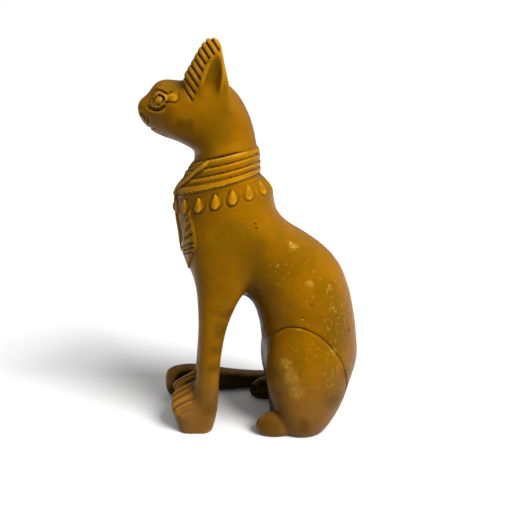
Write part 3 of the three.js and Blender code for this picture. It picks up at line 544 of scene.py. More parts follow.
    def thigh_line(self, y, z):
        """A cut round the thigh, with a raised lip below its front part."""
        line = trench(path_distance(THIGH_LINE, y, z), self.size("thigh_line_width")) * ease(3, 9, y)
        lip = ridge(path_distance(THIGH_LIP, y, z), 1.1) * ease(28, 20, y) * ease(4, 10, y)
        return self.size("thigh_lip_rise") * lip - self.size("thigh_line_depth") * line

    def toes(self, side, start, reach, pitch, depth):
        """Cuts between toes, one at the start and then one at each step of the pitch."""
        inside = (side > reach[0]) & (side < reach[1])
        return depth * inside * ridge(repeat(side - start + pitch / 2, pitch), self.size("toe_cut_width"))

    def forepaw_toes(self, side, y, z):
        cuts = self.toes(side, TOE_START, TOES_REACH, self.size("toe_pitch"), self.size("toe_cut_depth"))
        return -ease(-32.5, -35.5, y) * cuts

    def hind_toes(self, side, y, z):
        pitch, depth = self.size("hind_toe_pitch"), self.size("hind_toe_depth")
        return -ease(5, 2, y) * self.toes(side, HIND_TOE_START, HIND_TOES_REACH, pitch, depth)

    def height(self, x, y, z):
        """The whole carving: the chest and the collar laid over one another, and the rest added."""
        side = np.abs(x)
        height = np.zeros_like(x)
        chest = (z > 84) & (z < 124) & (y < -22)
        height[chest] = self.pendant(side[chest], y[chest], z[chest])
        neck_zone = (z > 116) & (z < 153)
        at = side[neck_zone], y[neck_zone], z[neck_zone]
        level = collar_level(at[1], at[2])
        beads = ease(0.2, -0.4, level - self.collar_foot + 0.6) * self.beads(x[neck_zone], at[1], at[2])
        strap, beside = self.strap(*at, level)
        bands = self.bands(at[1], level)
        bands = bands - np.where(bands > 0.5, beside, 0)
        raised = np.maximum(np.maximum(bands, beads), strap)
        under = height[neck_zone]
        height[neck_zone] = np.where(raised > 0, np.maximum(raised, under), under + np.minimum(beads, 0))
        for near, make in [
            ((z > 154) & (z < 181) & (y < -34), self.face),
            ((z > 170) & (side > 5) & (y < -14), lambda side, y, z: -self.ear_cuts(y, z)),
            ((z < 63) & (side > 9) & (y > 0), lambda side, y, z: self.thigh_line(y, z)),
            ((z < 27) & (y < -26) & (x > -23), self.forepaw_toes),
            ((z < 14) & (y > -4) & (y < 9), self.hind_toes),
        ]:
            height[near] += make(side[near], y[near], z[near])
        return height


FLOOR_EDGE = 0.6


def plain_field(points):
    """The uncarved body as a field in drawn units, negative inside, for points in metres."""
    x, y, z = ((points - DRAWN_ORIGIN) / UNIT).T
    return cut(body(x, y, z), -z, FLOOR_EDGE)


def figure_field(carving):
    """The carved figure as a field of the same kind."""

    def field(points):
        x, y, z = ((points - DRAWN_ORIGIN) / UNIT).T
        return cut(body(x, y, z) - carving.height(x, y, z), -z, FLOOR_EDGE)

    return field


PROBE = 0.08 * UNIT
SETTLED = 0.004
# A way that the skin faces nowhere, so that it is across every normal
ODD_WAY = (0.3, 0.5, 0.81)


def slope_of(field, points, here):
    """The field's slope at each point, per drawn unit."""
    ways = [field(points + PROBE * np.eye(3)[axis]) - here for axis in range(3)]
    return np.stack(ways, axis=1) * UNIT / PROBE


def settle(field, points, rounds, longest):
    """Moves points onto the field's skin, where that brings them nearer.

    A point moves by no more than the longest step in a round.
    """
    points = points.copy()
    moving = np.arange(len(points))
    here = field(points)
    for _ in range(rounds):
        unsettled = np.abs(here) > SETTLED
        moving, here = moving[unsettled], here[unsettled]
        at = points[moving]
        slope = slope_of(field, at, here)
        move = -here[:, None] * slope / ((slope**2).sum(1)[:, None] + 1e-6)
        length = np.linalg.norm(move, axis=1)[:, None] + 1e-9
        at = at + UNIT * move * np.minimum(1, longest / length)
        there = field(at)
        nearer = np.abs(there) < np.abs(here)
        moving, here = moving[nearer], there[nearer]
        points[moving] = at[nearer]
    return points


def hollowness(field, points, normal, reach):
    """How far the skin rises round each point, as a share of the reach.

    It is above 0 in a hollow and below 0 on an edge.
    """
    across = np.cross(normal, ODD_WAY)
    across /= np.linalg.norm(across, axis=1)[:, None]
    along = np.cross(normal, across)
    rise = 0
    for turn in np.arange(6) * math.pi / 3:
        rise = rise - field(points + reach * UNIT * (math.cos(turn) * across + math.sin(turn) * along))
    return rise / (6 * reach)


SKY_RAYS = 48
SKY_REACH = 0.12
OFF_SKIN = 0.0003


def closed_in(mesh, light_way):
    """How much of the space over each corner of a mesh is closed off, from 0 to 1.

    A ray that leaves a corner is closed off by the mesh near it, or by floor that the mesh shades.
    """
    corners = [corner.co.copy() for corner in mesh.vertices]
    tree = BVHTree.FromPolygons(corners, [tuple(face.vertices) for face in mesh.polygons])
    golden = math.pi * (3 - math.sqrt(5))
    rays = []
    for i in range(SKY_RAYS):
        rise = 1 - (2 * i + 1) / SKY_RAYS
        level = math.sqrt(1 - rise * rise)
        rays.append(Vector((level * math.cos(golden * i), level * math.sin(golden * i), rise)))
    closed = []
    for corner, vertex in zip(corners, mesh.vertices):
        start = corner + vertex.normal * OFF_SKIN
        weight = hits = 0
        for ray in rays:
            facing = ray.dot(vertex.normal)
            if facing < 0.05:
                continue
            weight += facing
            away = tree.ray_cast(start, ray, SKY_REACH)[3]
            if away is not None:
                hits += facing * (1 - away / SKY_REACH)
            elif ray.z < -0.05:
                on_floor = start - ray * (start.z / ray.z)
                hits += facing * (tree.ray_cast(on_floor, light_way)[3] is not None)
        closed.append(hits / weight)
    return corners, np.array(closed)


def spread(corners, values, points):
    """Values known at some corners, carried to the points near them."""
    tree = KDTree(len(corners))
    for i, corner in enumerate(corners):
        tree.insert(corner, i)
    tree.balance()
    result = []
    for point in points:
        near = tree.find_n(point, 4)
        weights = np.array([1 / (away + 1e-4) for _, _, away in near])
        result.append(weights @ values[[i for _, i, _ in near]] / weights.sum())
    return np.array(result)


# Mesh helpers


def get_points(mesh):
    points = np.empty(len(mesh.vertices) * 3)
    mesh.vertices.foreach_get("co", points)
    return points.reshape(-1, 3)


def set_points(mesh, points):
    mesh.vertices.foreach_set("co", points.ravel())
    mesh.update()


def only(piece):
    """Selects one object and makes it active."""
    bpy.ops.object.select_all(action="DESELECT")
    piece.select_set(True)
    bpy.context.view_layer.objects.active = piece


def apply_modifier(piece, kind, **settings):
    only(piece)
    modifier = piece.modifiers.new(kind.title(), kind)
    for name, value in settings.items():
        setattr(modifier, name, value)
    bpy.ops.object.modifier_apply(modifier=modifier.name)


def in_edit_mode(operator, **settings):
    """Runs an operator on the whole of the active mesh."""
    bpy.ops.object.mode_set(mode="EDIT")
    bpy.ops.mesh.select_all(action="SELECT")
    operator(**settings)
    bpy.ops.object.mode_set(mode="OBJECT")


def store(mesh, name, values):
    """Keeps a number for each corner of the mesh, for the material to read."""
    mesh.attributes.new(name, "FLOAT", "POINT").data.foreach_set("value", values.astype(np.float32))


# Materials


NUMBER_OPERATIONS = ("DISTANCE", "LENGTH", "DOT_PRODUCT")


class Shading:
    """A node tree with short ways to add and link nodes."""

    def __init__(self, tree):
        self.tree = tree
        self.tree.nodes.clear()

    def node(self, kind, settings=(), **inputs):
        made = self.tree.nodes.new("ShaderNode" + kind)
        for name, value in dict(settings).items():
            setattr(made, name, value)
        for name, value in inputs.items():
            self.feed(made.inputs[name.replace("_", " ")], value)
        return made

    def feed(self, socket, value):
        if isinstance(value, bpy.types.NodeSocket):
            self.tree.links.new(value, socket)
        else:
            socket.default_value = value

    def fed_in_order(self, made, first, values):
        """Feeds the values to a node's inputs, from the first one on."""
        for socket, value in zip(made.inputs[first:], values):
            self.feed(socket, value)
        return made

    def math(self, operation, *values):
        """A sum on numbers that differ from point to point."""
        return self.fed_in_order(self.node("Math", {"operation": operation}), 0, values).outputs[0]

    def times(self, mask, amount):
        return self.math("MULTIPLY", mask, amount)

    def vector_math(self, operation, *values):
        made = self.fed_in_order(self.node("VectorMath", {"operation": operation}), 0, values)
        return made.outputs["Value" if operation in NUMBER_OPERATIONS else "Vector"]

    def blend(self, factor, first, second):
        made = self.node("Mix", {"data_type": "RGBA"})
        self.feed(made.inputs[0], factor)
        return self.fed_in_order(made, 6, (first, second)).outputs[2]

    def mix_shaders(self, factor, first, second):
        return self.fed_in_order(self.node("MixShader"), 0, (factor, first, second)).outputs[0]

    def remap(self, value, low, high, to_low=0.0, to_high=1.0):
        made = self.node("MapRange", {"interpolation_type": "SMOOTHSTEP"}, Value=value, From_Min=low,
                         From_Max=high, To_Min=to_low, To_Max=to_high)
        return made.outputs[0]

    def noise(self, vector, scale, detail=3.0, roughness=0.5):
        made = self.node("TexNoise", Vector=vector, Scale=scale, Detail=detail, Roughness=roughness)
        return made.outputs["Fac"]

    def attribute(self, name):
        return self.node("Attribute", {"attribute_name": name}).outputs["Fac"]


def group_tree(name, inputs, outputs):
    """An empty shader node group with named sockets, and its Shading."""
    tree = bpy.data.node_groups.new(name, "ShaderNodeTree")
    for socket, kind in inputs:
        tree.interface.new_socket(socket, in_out="INPUT", socket_type=kind)
    for socket, kind in outputs:
        tree.interface.new_socket(socket, in_out="OUTPUT", socket_type=kind)
    shading = Shading(tree)
    return shading, tree.nodes.new("NodeGroupInput").outputs, tree.nodes.new("NodeGroupOutput").inputs


VECTOR, FLOAT = "NodeSocketVector", "NodeSocketFloat"


def casting_pits():
    """Small pits left by air bubbles, each with a worn rim on part of its edge."""
    s, given, result = group_tree(
        "Casting pits",
        [("Vector", VECTOR), ("Scale", FLOAT), ("Size", FLOAT), ("Share", FLOAT)],
        [("Pit", FLOAT), ("Rim", FLOAT)],
    )
    cells = s.node("TexVoronoi", Vector=given["Vector"], Scale=given["Scale"])
    chance = s.node("SeparateColor", Color=cells.outputs["Color"])
    chosen = s.math("LESS_THAN", chance.outputs[0], given["Share"])
    own_size = s.times(given["Size"], s.remap(chance.outputs[1], 0.0, 1.0, 0.5, 1.3))
    away = s.math("DIVIDE", cells.outputs["Distance"], own_size)
    s.feed(result["Pit"], s.times(chosen, s.remap(away, 1.0, 0.5)))
    ring = s.times(s.remap(away, 0.8, 1.2), s.remap(away, 2.2, 1.3))
    broken = s.remap(s.noise(given["Vector"], 420.0, 1.0), 0.48, 0.6)
    s.feed(result["Rim"], s.times(s.times(chosen, ring), broken))
    return s.tree


def worn_marks():
    """Short crooked marks, most of them in loose clusters, where the finish is scratched off."""
    s, given, result = group_tree(
        "Worn marks",
        [("Vector", VECTOR), ("Scale", FLOAT), ("Width", FLOAT), ("Share", FLOAT)],
        [("Mask", FLOAT)],
    )
    place = given["Vector"]
    cracks = s.node("TexVoronoi", {"feature": "DISTANCE_TO_EDGE"}, Vector=place, Scale=given["Scale"])
    thickness = s.times(given["Width"], s.remap(s.noise(place, 900.0, 1.0), 0.3, 0.7, 0.3, 1.7))
    line = s.math("LESS_THAN", cracks.outputs["Distance"], thickness)
    cluster = s.times(s.math("SUBTRACT", s.noise(place, 60.0, 2.0), 0.5), 0.5)
    chance = s.math("ADD", s.noise(place, 330.0, 1.0), cluster)
    inside = s.math("GREATER_THAN", chance, s.math("SUBTRACT", 1.0, given["Share"]))
    s.feed(result["Mask"], s.times(line, inside))
    return s.tree


# Marks on the cat's left side. Each has a place and a radius in drawn units.
PITS = [
    ((19.5, -2, 112.8), 0.75), ((20.1, -1.8, 110.4), 0.8), ((17.5, 20.7, 98.6), 0.5),
    ((24.1, 26.2, 71.5), 0.8), ((17, 47.3, 54.5), 0.9), ((25.9, 23.8, 52.2), 0.45),
    ((27.5, 13.7, 25.5), 0.55), ((24.4, 21.5, 64.9), 0.6),
]
CHIPS = [((24.5, 21.4, 63.8), 0.65), ((27.2, 32.9, 43.6), 0.5), ((17.8, -8.8, 117), 0.9)]
# Spots of worn finish, part of them painted highlights, as on the side of the haunch
WORN_AND_LIT_SPOTS = [
    ((27, 12.5, 40), 5), ((28.4, 14.8, 34), 7), ((29.5, 17.5, 27), 7), ((22.3, 24.8, 82.5), 3),
    ((18, 17, 101), 3.5), ((15, -24, 14), 4), ((24.8, 37.9, 46), 2.5),
]
# Spots where dark brown is painted on as shade: the back of the foreleg and paw, the front, foot, back and
# underside of the haunch, and under the cheek
SHADED_SPOTS = [
    ((20.4, -17, 67), 7), ((20.5, -20, 57), 9), ((19.8, -21, 46), 8), ((19, -22, 36), 7),
    ((19.3, -25.6, 14), 7), ((26.1, 39.2, 19.4), 9), ((22, 44, 32), 7), ((27.3, 6, 7.2), 12),
    ((23.5, 12, 13), 9), ((24, 8, 24), 7), ((23.6, 7, 35), 7), ((31.5, 22, 8), 6),
    ((16.8, -36, 160.5), 6),
]
# Both flanks and both haunches, where hands hold the figure
FLANKS = [((20, 26, 78), 32), ((-20, 26, 78), 32), ((20, 34, 40), 22), ((-20, 34, 40), 22)]


def near_spots(s, place, spots, edge):
    """A mask over chosen spots. Each fades out from the given share of its radius."""
    mask = 0.0
    for centre, radius in spots:
        away = s.vector_math("DISTANCE", place, DRAWN_ORIGIN + UNIT * np.array(centre))
        mask = s.math("MAXIMUM", s.remap(away, radius * UNIT, edge * radius * UNIT), mask)
    return mask


def wobble(s, place, scale, reach):
    """The place moved about at random, so that what is drawn there gets an uneven outline."""
    shift = s.node("TexNoise", Vector=place, Scale=scale, Detail=2.0)
    centred = s.vector_math("SUBTRACT", shift.outputs["Color"], (0.5, 0.5, 0.5))
    return s.vector_math("ADD", place, s.vector_math("MULTIPLY", centred, (reach, reach, reach)))


def new_material(name):
    """A material with an empty node tree, its Shading and the place of each point on the object."""
    material = bpy.data.materials.new(name)
    material.use_nodes = True
    s = Shading(material.node_tree)
    return material, s, s.node("TexCoord").outputs["Object"]


def figure_material(finish):
    """Amber resin with dark stain in the carving, worn edges, pits and a waxed sheen, and painted shade,
    highlights and floor reflection.
    """
    material, s, place = new_material("amber_resin")
    height = s.node("SeparateXYZ", Vector=place).outputs[2]
    fine, wide, closed = s.attribute("fine_hollow"), s.attribute("wide_hollow"), s.attribute("closed_in")
    uneven = wobble(s, place, 700.0, 0.0012)
    grain = s.noise(place, 1100.0, 2.0)
    speck = s.math("SUBTRACT", grain, 0.5)

    def colour(name):
        return (*getattr(finish, name), 1.0)

    def with_grain(mask, amount):
        return s.math("ADD", mask, s.times(speck, amount))

    # Mottled resin
    base = s.blend(s.remap(s.noise(place, 62.0, 3.0), 0.38, 0.62), colour("amber"), colour("olive"))
    base = s.blend(s.remap(s.noise(place, 135.0, 3.0, 0.6), 0.5, 0.7, 0.0, 0.7), base, colour("rust"))
    base = s.blend(s.remap(s.noise(place, 27.0, 2.0), 0.45, 0.7, 0.0, 0.45), base, colour("umber_and_shade"))

    # Wear on full forms, edges and spots, and scratches; the pale edges and some of the spots are also
    # painted highlights
    base = s.blend(s.remap(with_grain(wide, 0.08), -0.06, -0.26, 0.0, 0.85), base, colour("bright"))
    # Pale spots: worn finish, and on the haunch a painted highlight
    worn = near_spots(s, wobble(s, place, 160.0, 0.008), WORN_AND_LIT_SPOTS, 0.2)
    worn = s.times(worn, s.remap(grain, 0.35, 0.6, 0.1, 0.85))
    base = s.blend(worn, base, colour("rubbed_and_highlight"))
    marks = s.node("Group", {"node_tree": worn_marks()}, Vector=uneven, Scale=240.0, Width=0.035, Share=0.4)
    handled = s.remap(near_spots(s, wobble(s, place, 50.0, 0.02), FLANKS, 0.6), 0.0, 1.0, 0.08, 0.42)
    base = s.blend(s.times(marks.outputs[0], handled), base, colour("rubbed_and_highlight"))
    # Pale edges: worn finish that also stands in for painted highlights along the edges
    cream_and_highlight = s.remap(with_grain(fine, 0.2), -0.28, -0.62)
    patches = s.remap(s.noise(place, 240.0, 2.0), 0.35, 0.6, 0.15, 0.65)
    base = s.blend(s.times(cream_and_highlight, patches), base, colour("cream_and_highlight"))

    # Stain in the carving and, with painted shade, in broad hollows; a painted floor reflection and painted
    # shade low down; painted shade on chosen spots, and near black where little light reaches
    # Brown in broad hollows: stain and painted shade together
    base = s.blend(s.remap(with_grain(wide, 0.06), 0.06, 0.3, 0.0, 0.7), base, colour("umber_and_shade"))
    base = s.blend(s.remap(with_grain(fine, 0.1), 0.18, 0.52, 0.0, 0.92), base, colour("stain"))
    # Purplish brown low down: a painted reflection of the pale floor, and painted shade
    drift = s.times(s.math("SUBTRACT", s.noise(place, 90.0, 3.0), 0.5), 0.02)
    low = s.remap(s.math("ADD", height, drift), 0.046, 0.008)
    base = s.blend(s.times(low, 0.6), base, colour("low_shade_and_reflection"))
    # Painted shade: dark brown on the shaded spots
    shaded = near_spots(s, wobble(s, place, 110.0, 0.012), SHADED_SPOTS, 0.1)
    base = s.blend(s.times(shaded, 0.75), base, colour("umber_and_shade"))
    # Near-black painted shade where the figure closes in on itself or stands over floor in its own shadow
    base = s.blend(s.remap(closed, 0.34, 0.54, 0.0, 0.98), base, colour("near_black_shade"))

    # Pits and chips
    pits = s.node("Group", {"node_tree": casting_pits()}, Vector=uneven, Scale=120.0, Size=0.06, Share=0.05)
    holes = s.math("MAXIMUM", pits.outputs["Pit"], near_spots(s, uneven, PITS, 0.5))
    base = s.blend(s.times(pits.outputs["Rim"], 0.55), base, colour("rubbed_and_highlight"))
    base = s.blend(s.times(holes, 0.85), base, colour("stain"))
    base = s.blend(s.times(near_spots(s, uneven, CHIPS, 0.6), 0.8), base, colour("cream_and_highlight"))

    # Sheen and fine relief
    roughness = s.remap(s.noise(place, 260.0, 3.0), 0.3, 0.7, 0.36, 0.5)
    roughness = s.math("ADD", roughness, s.times(s.math("MAXIMUM", holes, worn), 0.2))
    relief = s.math("ADD", s.times(grain, 0.12), s.noise(place, 170.0, 2.0))
    sunk = s.math("MAXIMUM", holes, s.times(marks.outputs[0], 0.25))
    relief = s.math("SUBTRACT", relief, s.times(sunk, 1.6))
    bump = s.node("Bump", Height=relief, Strength=0.3, Distance=0.00035)
    shader = s.node("BsdfPrincipled", Base_Color=base, Roughness=roughness, Normal=bump.outputs[0],
                    Specular_IOR_Level=finish.gloss, Specular_Tint=colour("sheen"), Coat_Weight=finish.wax,
                    Coat_Roughness=0.35)
    s.node("OutputMaterial", Surface=shader.outputs[0])
    return material


FLOOR_ROUGHNESS = 0.9


def floor_material(studio):
    """A pale floor that throws little light back up on the figure, as a floor in a dim room would."""
    material, s, place = new_material("pale_floor")
    pale, dim = (*studio.floor_colour, 1.0), (*studio.floor_bounce, 1.0)
    tint = s.blend(s.remap(s.noise(place, 6.0, 2.0), 0.3, 0.7, 0.0, 0.02), pale, dim)
    glow = s.remap(s.vector_math("LENGTH", place), 0.3, 1.2, 0.0, 0.4)
    seen = s.node("BsdfPrincipled", Base_Color=tint, Roughness=FLOOR_ROUGHNESS, Emission_Color=pale,
                  Emission_Strength=glow)
    bounced = s.node("BsdfPrincipled", Base_Color=dim, Roughness=FLOOR_ROUGHNESS)
    is_bounce = s.node("LightPath").outputs["Is Diffuse Ray"]
    s.node("OutputMaterial", Surface=s.mix_shaders(is_bounce, seen.outputs[0], bounced.outputs[0]))
    return material


# Settings


def length(name, description, metres):
    return FloatProperty(
        name=name, description=description, default=metres, min=0.0, unit="LENGTH", precision=5
    )


def count(name, description, number, least):
    return IntProperty(name=name, description=description, default=number, min=least)


def shade(name, description, colour):
    return FloatVectorProperty(
        name=name, description=description, default=colour, min=0.0, max=1.0, subtype="COLOR"
    )


def share(name, description, part):
    return FloatProperty(name=name, description=description, default=part, min=0, max=1, subtype="FACTOR")


def strength(name, description, number):
    return FloatProperty(name=name, description=description, default=number, min=0)


def angle(name, description, degrees):
    return FloatProperty(name=name, description=description, default=math.radians(degrees), subtype="ANGLE")


class CatCarving(bpy.types.PropertyGroup):
    """Sizes of the carving."""

    voxel: length("Voxel", "Size of the grid that the casting is first remeshed on", 0.00038)
    triangles: count("Triangles", "Triangles that the casting keeps", 195000, 1000)
    bands: count("Collar bands", "Number of wide bands at the top of the collar", 2, 1)
    low_bands: count("Low bands", "Number of narrower bands below them", 2, 0)
    band_width: length("Band width", "Height of a wide band", 0.0037)
    low_band_width: length("Low band width", "Height of a narrower band", 0.00305)
    band_rise: length("Band rise", "How far the bands stand out of the neck", 0.0021)
    band_groove_width: length("Band groove width", "Width of the groove between two bands", 0.0011)
    band_groove_depth: length("Band groove depth", "Depth of the groove between two bands", 0.0006)
    strap_width: length("Strap width", "Width of the crossed strap", 0.0024)
    strap_rise: length("Strap rise", "How far the strap stands out of what it lies on", 0.0007)
    strap_groove_depth: length("Strap groove depth", "Depth of the grooves along the strap", 0.0004)
    knob_width: length("Knob width", "Width of the knob at the strap's foot", 0.006)
    knob_rise: length("Knob rise", "How far the knob stands out", 0.0022)
    beads: count("Beads", "Number of drop beads round the chest", 16, 3)
    bead_length: length("Bead length", "Length of a bead from point to foot", 0.0076)
    bead_width: length("Bead width", "Width of a bead", 0.0054)
    bead_rise: length("Bead rise", "How far a bead stands out", 0.0015)
    bead_ring_depth: length("Bead ring depth", "Depth of the groove round a bead's foot", 0.0002)
    pendant_rise: length("Pendant rise", "How far the pendant stands out", 0.001)
    pendant_rim_width: length("Pendant rim", "Width of the smooth rim of the wings", 0.0012)
    feather_cut_width: length("Feather cut", "Width of the cut between two feathers", 0.0011)
    ear_cut_pitch: length("Ear cut pitch", "Distance from one ear cut to the next", 0.002875)
    ear_cut_width: length("Ear cut width", "Width of an ear cut", 0.0014)
    ear_cut_depth: length("Ear cut depth", "Depth of an ear cut", 0.0008)
    eye_length: length("Eye length", "Length of the eyeball", 0.005)
    eye_height: length("Eye height", "Height of the eyeball", 0.0037)
    eye_rise: length("Eye rise", "How far the eyeball stands out", 0.0009)
    lid_rise: length("Lid rise", "How far the ring round the eye stands out", 0.0008)
    face_cut_width: length("Face cut width", "Width of the lines on the face", 0.0011)
    face_cut_depth: length("Face cut depth", "Depth of the lines on the face", 0.0006)
    thigh_line_width: length("Thigh line width", "Width of the line round the thigh", 0.001)
    thigh_line_depth: length("Thigh line depth", "Depth of the line round the thigh", 0.0005)
    thigh_lip_rise: length("Thigh lip rise", "How far the lip below the line's front part stands out", 0.0002)
    toe_pitch: length("Toe pitch", "Distance from one toe to the next on a forepaw", 0.0036)
    toe_cut_width: length("Toe cut width", "Width of the cut between two toes", 0.0016)
    toe_cut_depth: length("Toe cut depth", "Depth of the cut between two toes", 0.001)
    hind_toe_pitch: length("Hind toe pitch", "Distance from one toe to the next on a hind foot", 0.0031)
    hind_toe_depth: length("Hind toe depth", "Depth of the cut between two hind toes", 0.0009)


class CatFinish(bpy.types.PropertyGroup):
    """Colours and sheen of the resin, and the colours of its painted shade, highlights and floor reflection.
    """

    amber: shade("Amber", "Main colour of the resin", (0.285, 0.113, 0.0))
    olive: shade("Olive", "Greener, darker parts of the resin", (0.215, 0.097, 0.0))
    rust: shade("Rust", "Redder patches", (0.25, 0.086, 0.0))
    # Also the colour of painted shade in broad hollows and on the shaded spots
    umber_and_shade: shade("Umber", "Brown of shallow hollows", (0.09, 0.037, 0.0005))
    bright: shade("Bright", "Orange-yellow of full, handled forms", (0.54, 0.235, 0.002))
    # Also the colour of the painted highlights on the worn spots
    rubbed_and_highlight: shade("Rubbed and highlight", "Pale colour where the finish is scratched", (0.56, 0.31, 0.045))
    # Also gives the painted highlights along the edges
    cream_and_highlight: shade("Cream", "Palest colour, along sharp edges", (0.5, 0.34, 0.09))
    # Painted floor reflection and painted shade, low down on the figure
    low_shade_and_reflection: shade("Low shade and reflection", "Purplish brown low down on the figure", (0.15, 0.07, 0.025))
    stain: shade("Stain", "Dark stain left in the carving", (0.02, 0.007, 0.002))
    # Painted shade: the colour given where little light reaches
    near_black_shade: shade("Murk", "Near black where air hardly reaches", (0.004, 0.002, 0.0005))
    sheen: shade("Sheen", "Colour of the gloss seen straight on", (1.0, 0.6, 0.06))
    gloss: share("Gloss", "Strength of the resin's own gloss", 0.3)
    wax: share("Wax", "Strength of the waxed sheen", 0.04)


class CatStudio(bpy.types.PropertyGroup):
    """Camera, floor and light."""

    view_distance: length("View distance", "From the camera to the figure's middle", 331.16 * UNIT)
    view_turn: angle("View turn", "How far the camera stands to the cat's front of square on", 5)
    view_height: angle("View height", "How far above level the camera stands", 14)
    view_level: length("View level", "Height of the point that the camera looks at", 91.485 * UNIT)
    floor_colour: shade("Floor", "Colour of the floor", (0.9, 0.9, 0.9))
    floor_bounce: shade("Floor bounce", "Colour of the light that the floor throws back", (0.12, 0.12, 0.12))
    key_strength: strength("Key light", "Strength of the main light", 4.4)
    key_turn: angle("Key turn", "Direction of the main light, from square on towards the cat's back", 47)
    key_height: angle("Key height", "How high the main light stands", 42)
    key_softness: angle("Key softness", "Width of the main light as seen from the figure", 32)
    gloss_strength: strength("Gloss", "Brightness of the room in the wax", 0.22)
    room_strength: strength("Room", "Brightness of the room round the figure", 0.27)


# Pieces

# Corners where the carving is no higher or deeper than this, in drawn units, may be thinned out
CARVED_LEAST = 0.02


def thin_plain_parts(piece, field, triangles):
    """Thins the mesh to the given number of triangles, and leaves the carving as fine as it was."""
    points = get_points(piece.data)
    carved = np.abs(field(points) - plain_field(points)) > CARVED_LEAST
    plain = piece.vertex_groups.new(name="plain")
    plain.add(np.flatnonzero(~carved).tolist(), 1.0, "REPLACE")
    ratio = min(1.0, triangles / len(piece.data.polygons))
    apply_modifier(piece, "DECIMATE", ratio=ratio, vertex_group=plain.name, vertex_group_factor=1.0)
    piece.vertex_groups.clear()


def direction(turn, height):
    """The way to a place seen from the figure: turn runs from the cat's left side to its back."""
    level = math.cos(height)
    return Vector((level * math.cos(turn), level * math.sin(turn), math.sin(height)))


class CATFIGURE_OT_casting(bpy.types.Operator):
    """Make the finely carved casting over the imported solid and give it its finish"""

    bl_idname = "catfigure.casting"
    bl_label = "Carve the casting"

    def execute(self, context):
        sizes, studio = context.scene.cat_carving, context.scene.cat_studio
        field = figure_field(Carving(sizes))
        only(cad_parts["cat_figure"])
        bpy.ops.object.duplicate()
        piece = context.active_object
        piece.name = piece.data.name = "cat_figure_carved"
        in_edit_mode(bpy.ops.mesh.remove_doubles, threshold=1e-6)
        # This closeness, with floor left in the key light's shadow, paints near-black shade into the finish
        corners, closed = closed_in(piece.data, direction(studio.key_turn, studio.key_height))
        apply_modifier(piece, "REMESH", mode="VOXEL", voxel_size=sizes.voxel)
        set_points(piece.data, settle(field, get_points(piece.data), rounds=4, longest=0.5))
        in_edit_mode(bpy.ops.mesh.quads_convert_to_tris)
        thin_plain_parts(piece, field, sizes.triangles)
        points = settle(field, get_points(piece.data), rounds=2, longest=0.15)
        set_points(piece.data, points)
        slope = slope_of(plain_field, points, plain_field(points))
        normal = slope / np.linalg.norm(slope, axis=1)[:, None]
        store(piece.data, "fine_hollow", hollowness(field, points, normal, 0.6))
        store(piece.data, "wide_hollow", hollowness(field, points, normal, 1.8))
        store(piece.data, "closed_in", spread(corners, closed, points))
        bpy.ops.object.shade_smooth()
        piece.data.materials.clear()
        piece.data.materials.append(figure_material(context.scene.cat_finish))
        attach(piece, "root")
        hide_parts("cat_figure")
        return {"FINISHED"}


FLOOR_SIZE = 6.0
FLOOR_DROP = 0.0002
# The camera's focal length and sensor width in millimetres
LENS = 43.86
SENSOR = 36
# Where the room is brightest, and where the wax mirrors it
ROOM_WAY = (0.45, -0.25, 0.85)
GLOSS_WAY = (0.0, 0.8, 0.6)
WHITE = (1, 1, 1, 1)


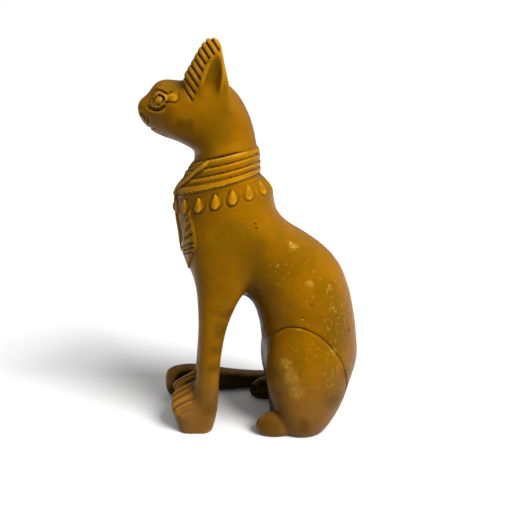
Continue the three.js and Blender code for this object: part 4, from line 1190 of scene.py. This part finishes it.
class CATFIGURE_OT_studio(bpy.types.Operator):
    """Set the pale floor, the soft lights and the camera"""

    bl_idname = "catfigure.studio"
    bl_label = "Set the studio"

    def execute(self, context):
        studio = context.scene.cat_studio
        bpy.ops.object.select_all(action="DESELECT")
        bpy.ops.mesh.primitive_plane_add(size=FLOOR_SIZE, location=(0, 0, -FLOOR_DROP))
        floor = context.active_object
        floor.name = "studio_floor"
        bpy.ops.object.transform_apply(location=True, rotation=True, scale=True)
        floor.data.materials.append(floor_material(studio))
        self.add_key(context, studio)
        self.add_camera(context, studio)
        self.set_world(context, studio)
        context.scene.view_settings.view_transform = "Standard"
        return {"FINISHED"}

    def add_key(self, context, studio):
        way = direction(studio.key_turn, studio.key_height)
        bpy.ops.object.light_add(type="SUN", location=way)
        key = context.active_object
        key.name = "key_light"
        key.data.energy = studio.key_strength
        key.data.angle = studio.key_softness
        key.rotation_euler = way.to_track_quat("Z", "Y").to_euler()
        key.visible_glossy = False

    def add_camera(self, context, studio):
        target = Vector(DRAWN_ORIGIN) + Vector((0, 0, studio.view_level))
        way = direction(-studio.view_turn, studio.view_height)
        bpy.ops.object.camera_add(location=target + studio.view_distance * way)
        camera = context.active_object
        camera.rotation_euler = way.to_track_quat("Z", "Y").to_euler()
        camera.data.lens = LENS
        camera.data.sensor_width = SENSOR
        context.scene.camera = camera

    def set_world(self, context, studio):
        """A room that is white behind the figure, lights it dimly and shines on it from its back."""
        world = bpy.data.worlds.new("pale_room")
        context.scene.world = world
        world.use_nodes = True
        s = Shading(world.node_tree)
        path = s.node("LightPath").outputs
        dim = self.room_light(s, ROOM_WAY, 0.15 * studio.room_strength, 1.75 * studio.room_strength)
        gloss = self.room_light(s, GLOSS_WAY, 0.05 * studio.gloss_strength, 1.8 * studio.gloss_strength)
        white = s.node("Background", Color=WHITE, Strength=1.0).outputs[0]
        room = s.mix_shaders(path["Is Glossy Ray"], dim, gloss)
        s.node("OutputWorld", Surface=s.mix_shaders(path["Is Camera Ray"], room, white))

    def room_light(self, s, toward, least, most):
        """White light that grows from one side of the room to the other."""
        across = s.vector_math("DOT_PRODUCT", s.node("TexCoord").outputs["Generated"], toward)
        growing = s.remap(across, -0.7, 0.8, least, most)
        return s.node("Background", Color=WHITE, Strength=growing).outputs[0]


class CATFIGURE_PT_panel(bpy.types.Panel):
    """Buttons and settings for the figure"""

    bl_label = "Cat figure"
    bl_idname = "CATFIGURE_PT_panel"
    bl_space_type = "VIEW_3D"
    bl_region_type = "UI"
    bl_category = "Cat figure"

    def draw(self, context):
        for settings, operator in (
            (context.scene.cat_carving, CATFIGURE_OT_casting),
            (context.scene.cat_finish, None),
            (context.scene.cat_studio, CATFIGURE_OT_studio),
        ):
            box = self.layout.box()
            for name in settings.bl_rna.properties.keys():
                if name not in ("rna_type", "name"):
                    box.prop(settings, name)
            if operator:
                box.operator(operator.bl_idname)


CLASSES = (CatCarving, CatFinish, CatStudio, CATFIGURE_OT_casting, CATFIGURE_OT_studio, CATFIGURE_PT_panel)
SETTINGS = {"cat_carving": CatCarving, "cat_finish": CatFinish, "cat_studio": CatStudio}


def register():
    for entry in CLASSES:
        bpy.utils.register_class(entry)
    for name, group in SETTINGS.items():
        setattr(bpy.types.Scene, name, PointerProperty(type=group))


def unregister():
    for name in SETTINGS:
        delattr(bpy.types.Scene, name)
    for entry in reversed(CLASSES):
        bpy.utils.unregister_class(entry)


def main():
    register()
    bpy.ops.catfigure.casting()
    bpy.ops.catfigure.studio()


if __name__ == "__main__":
    main()
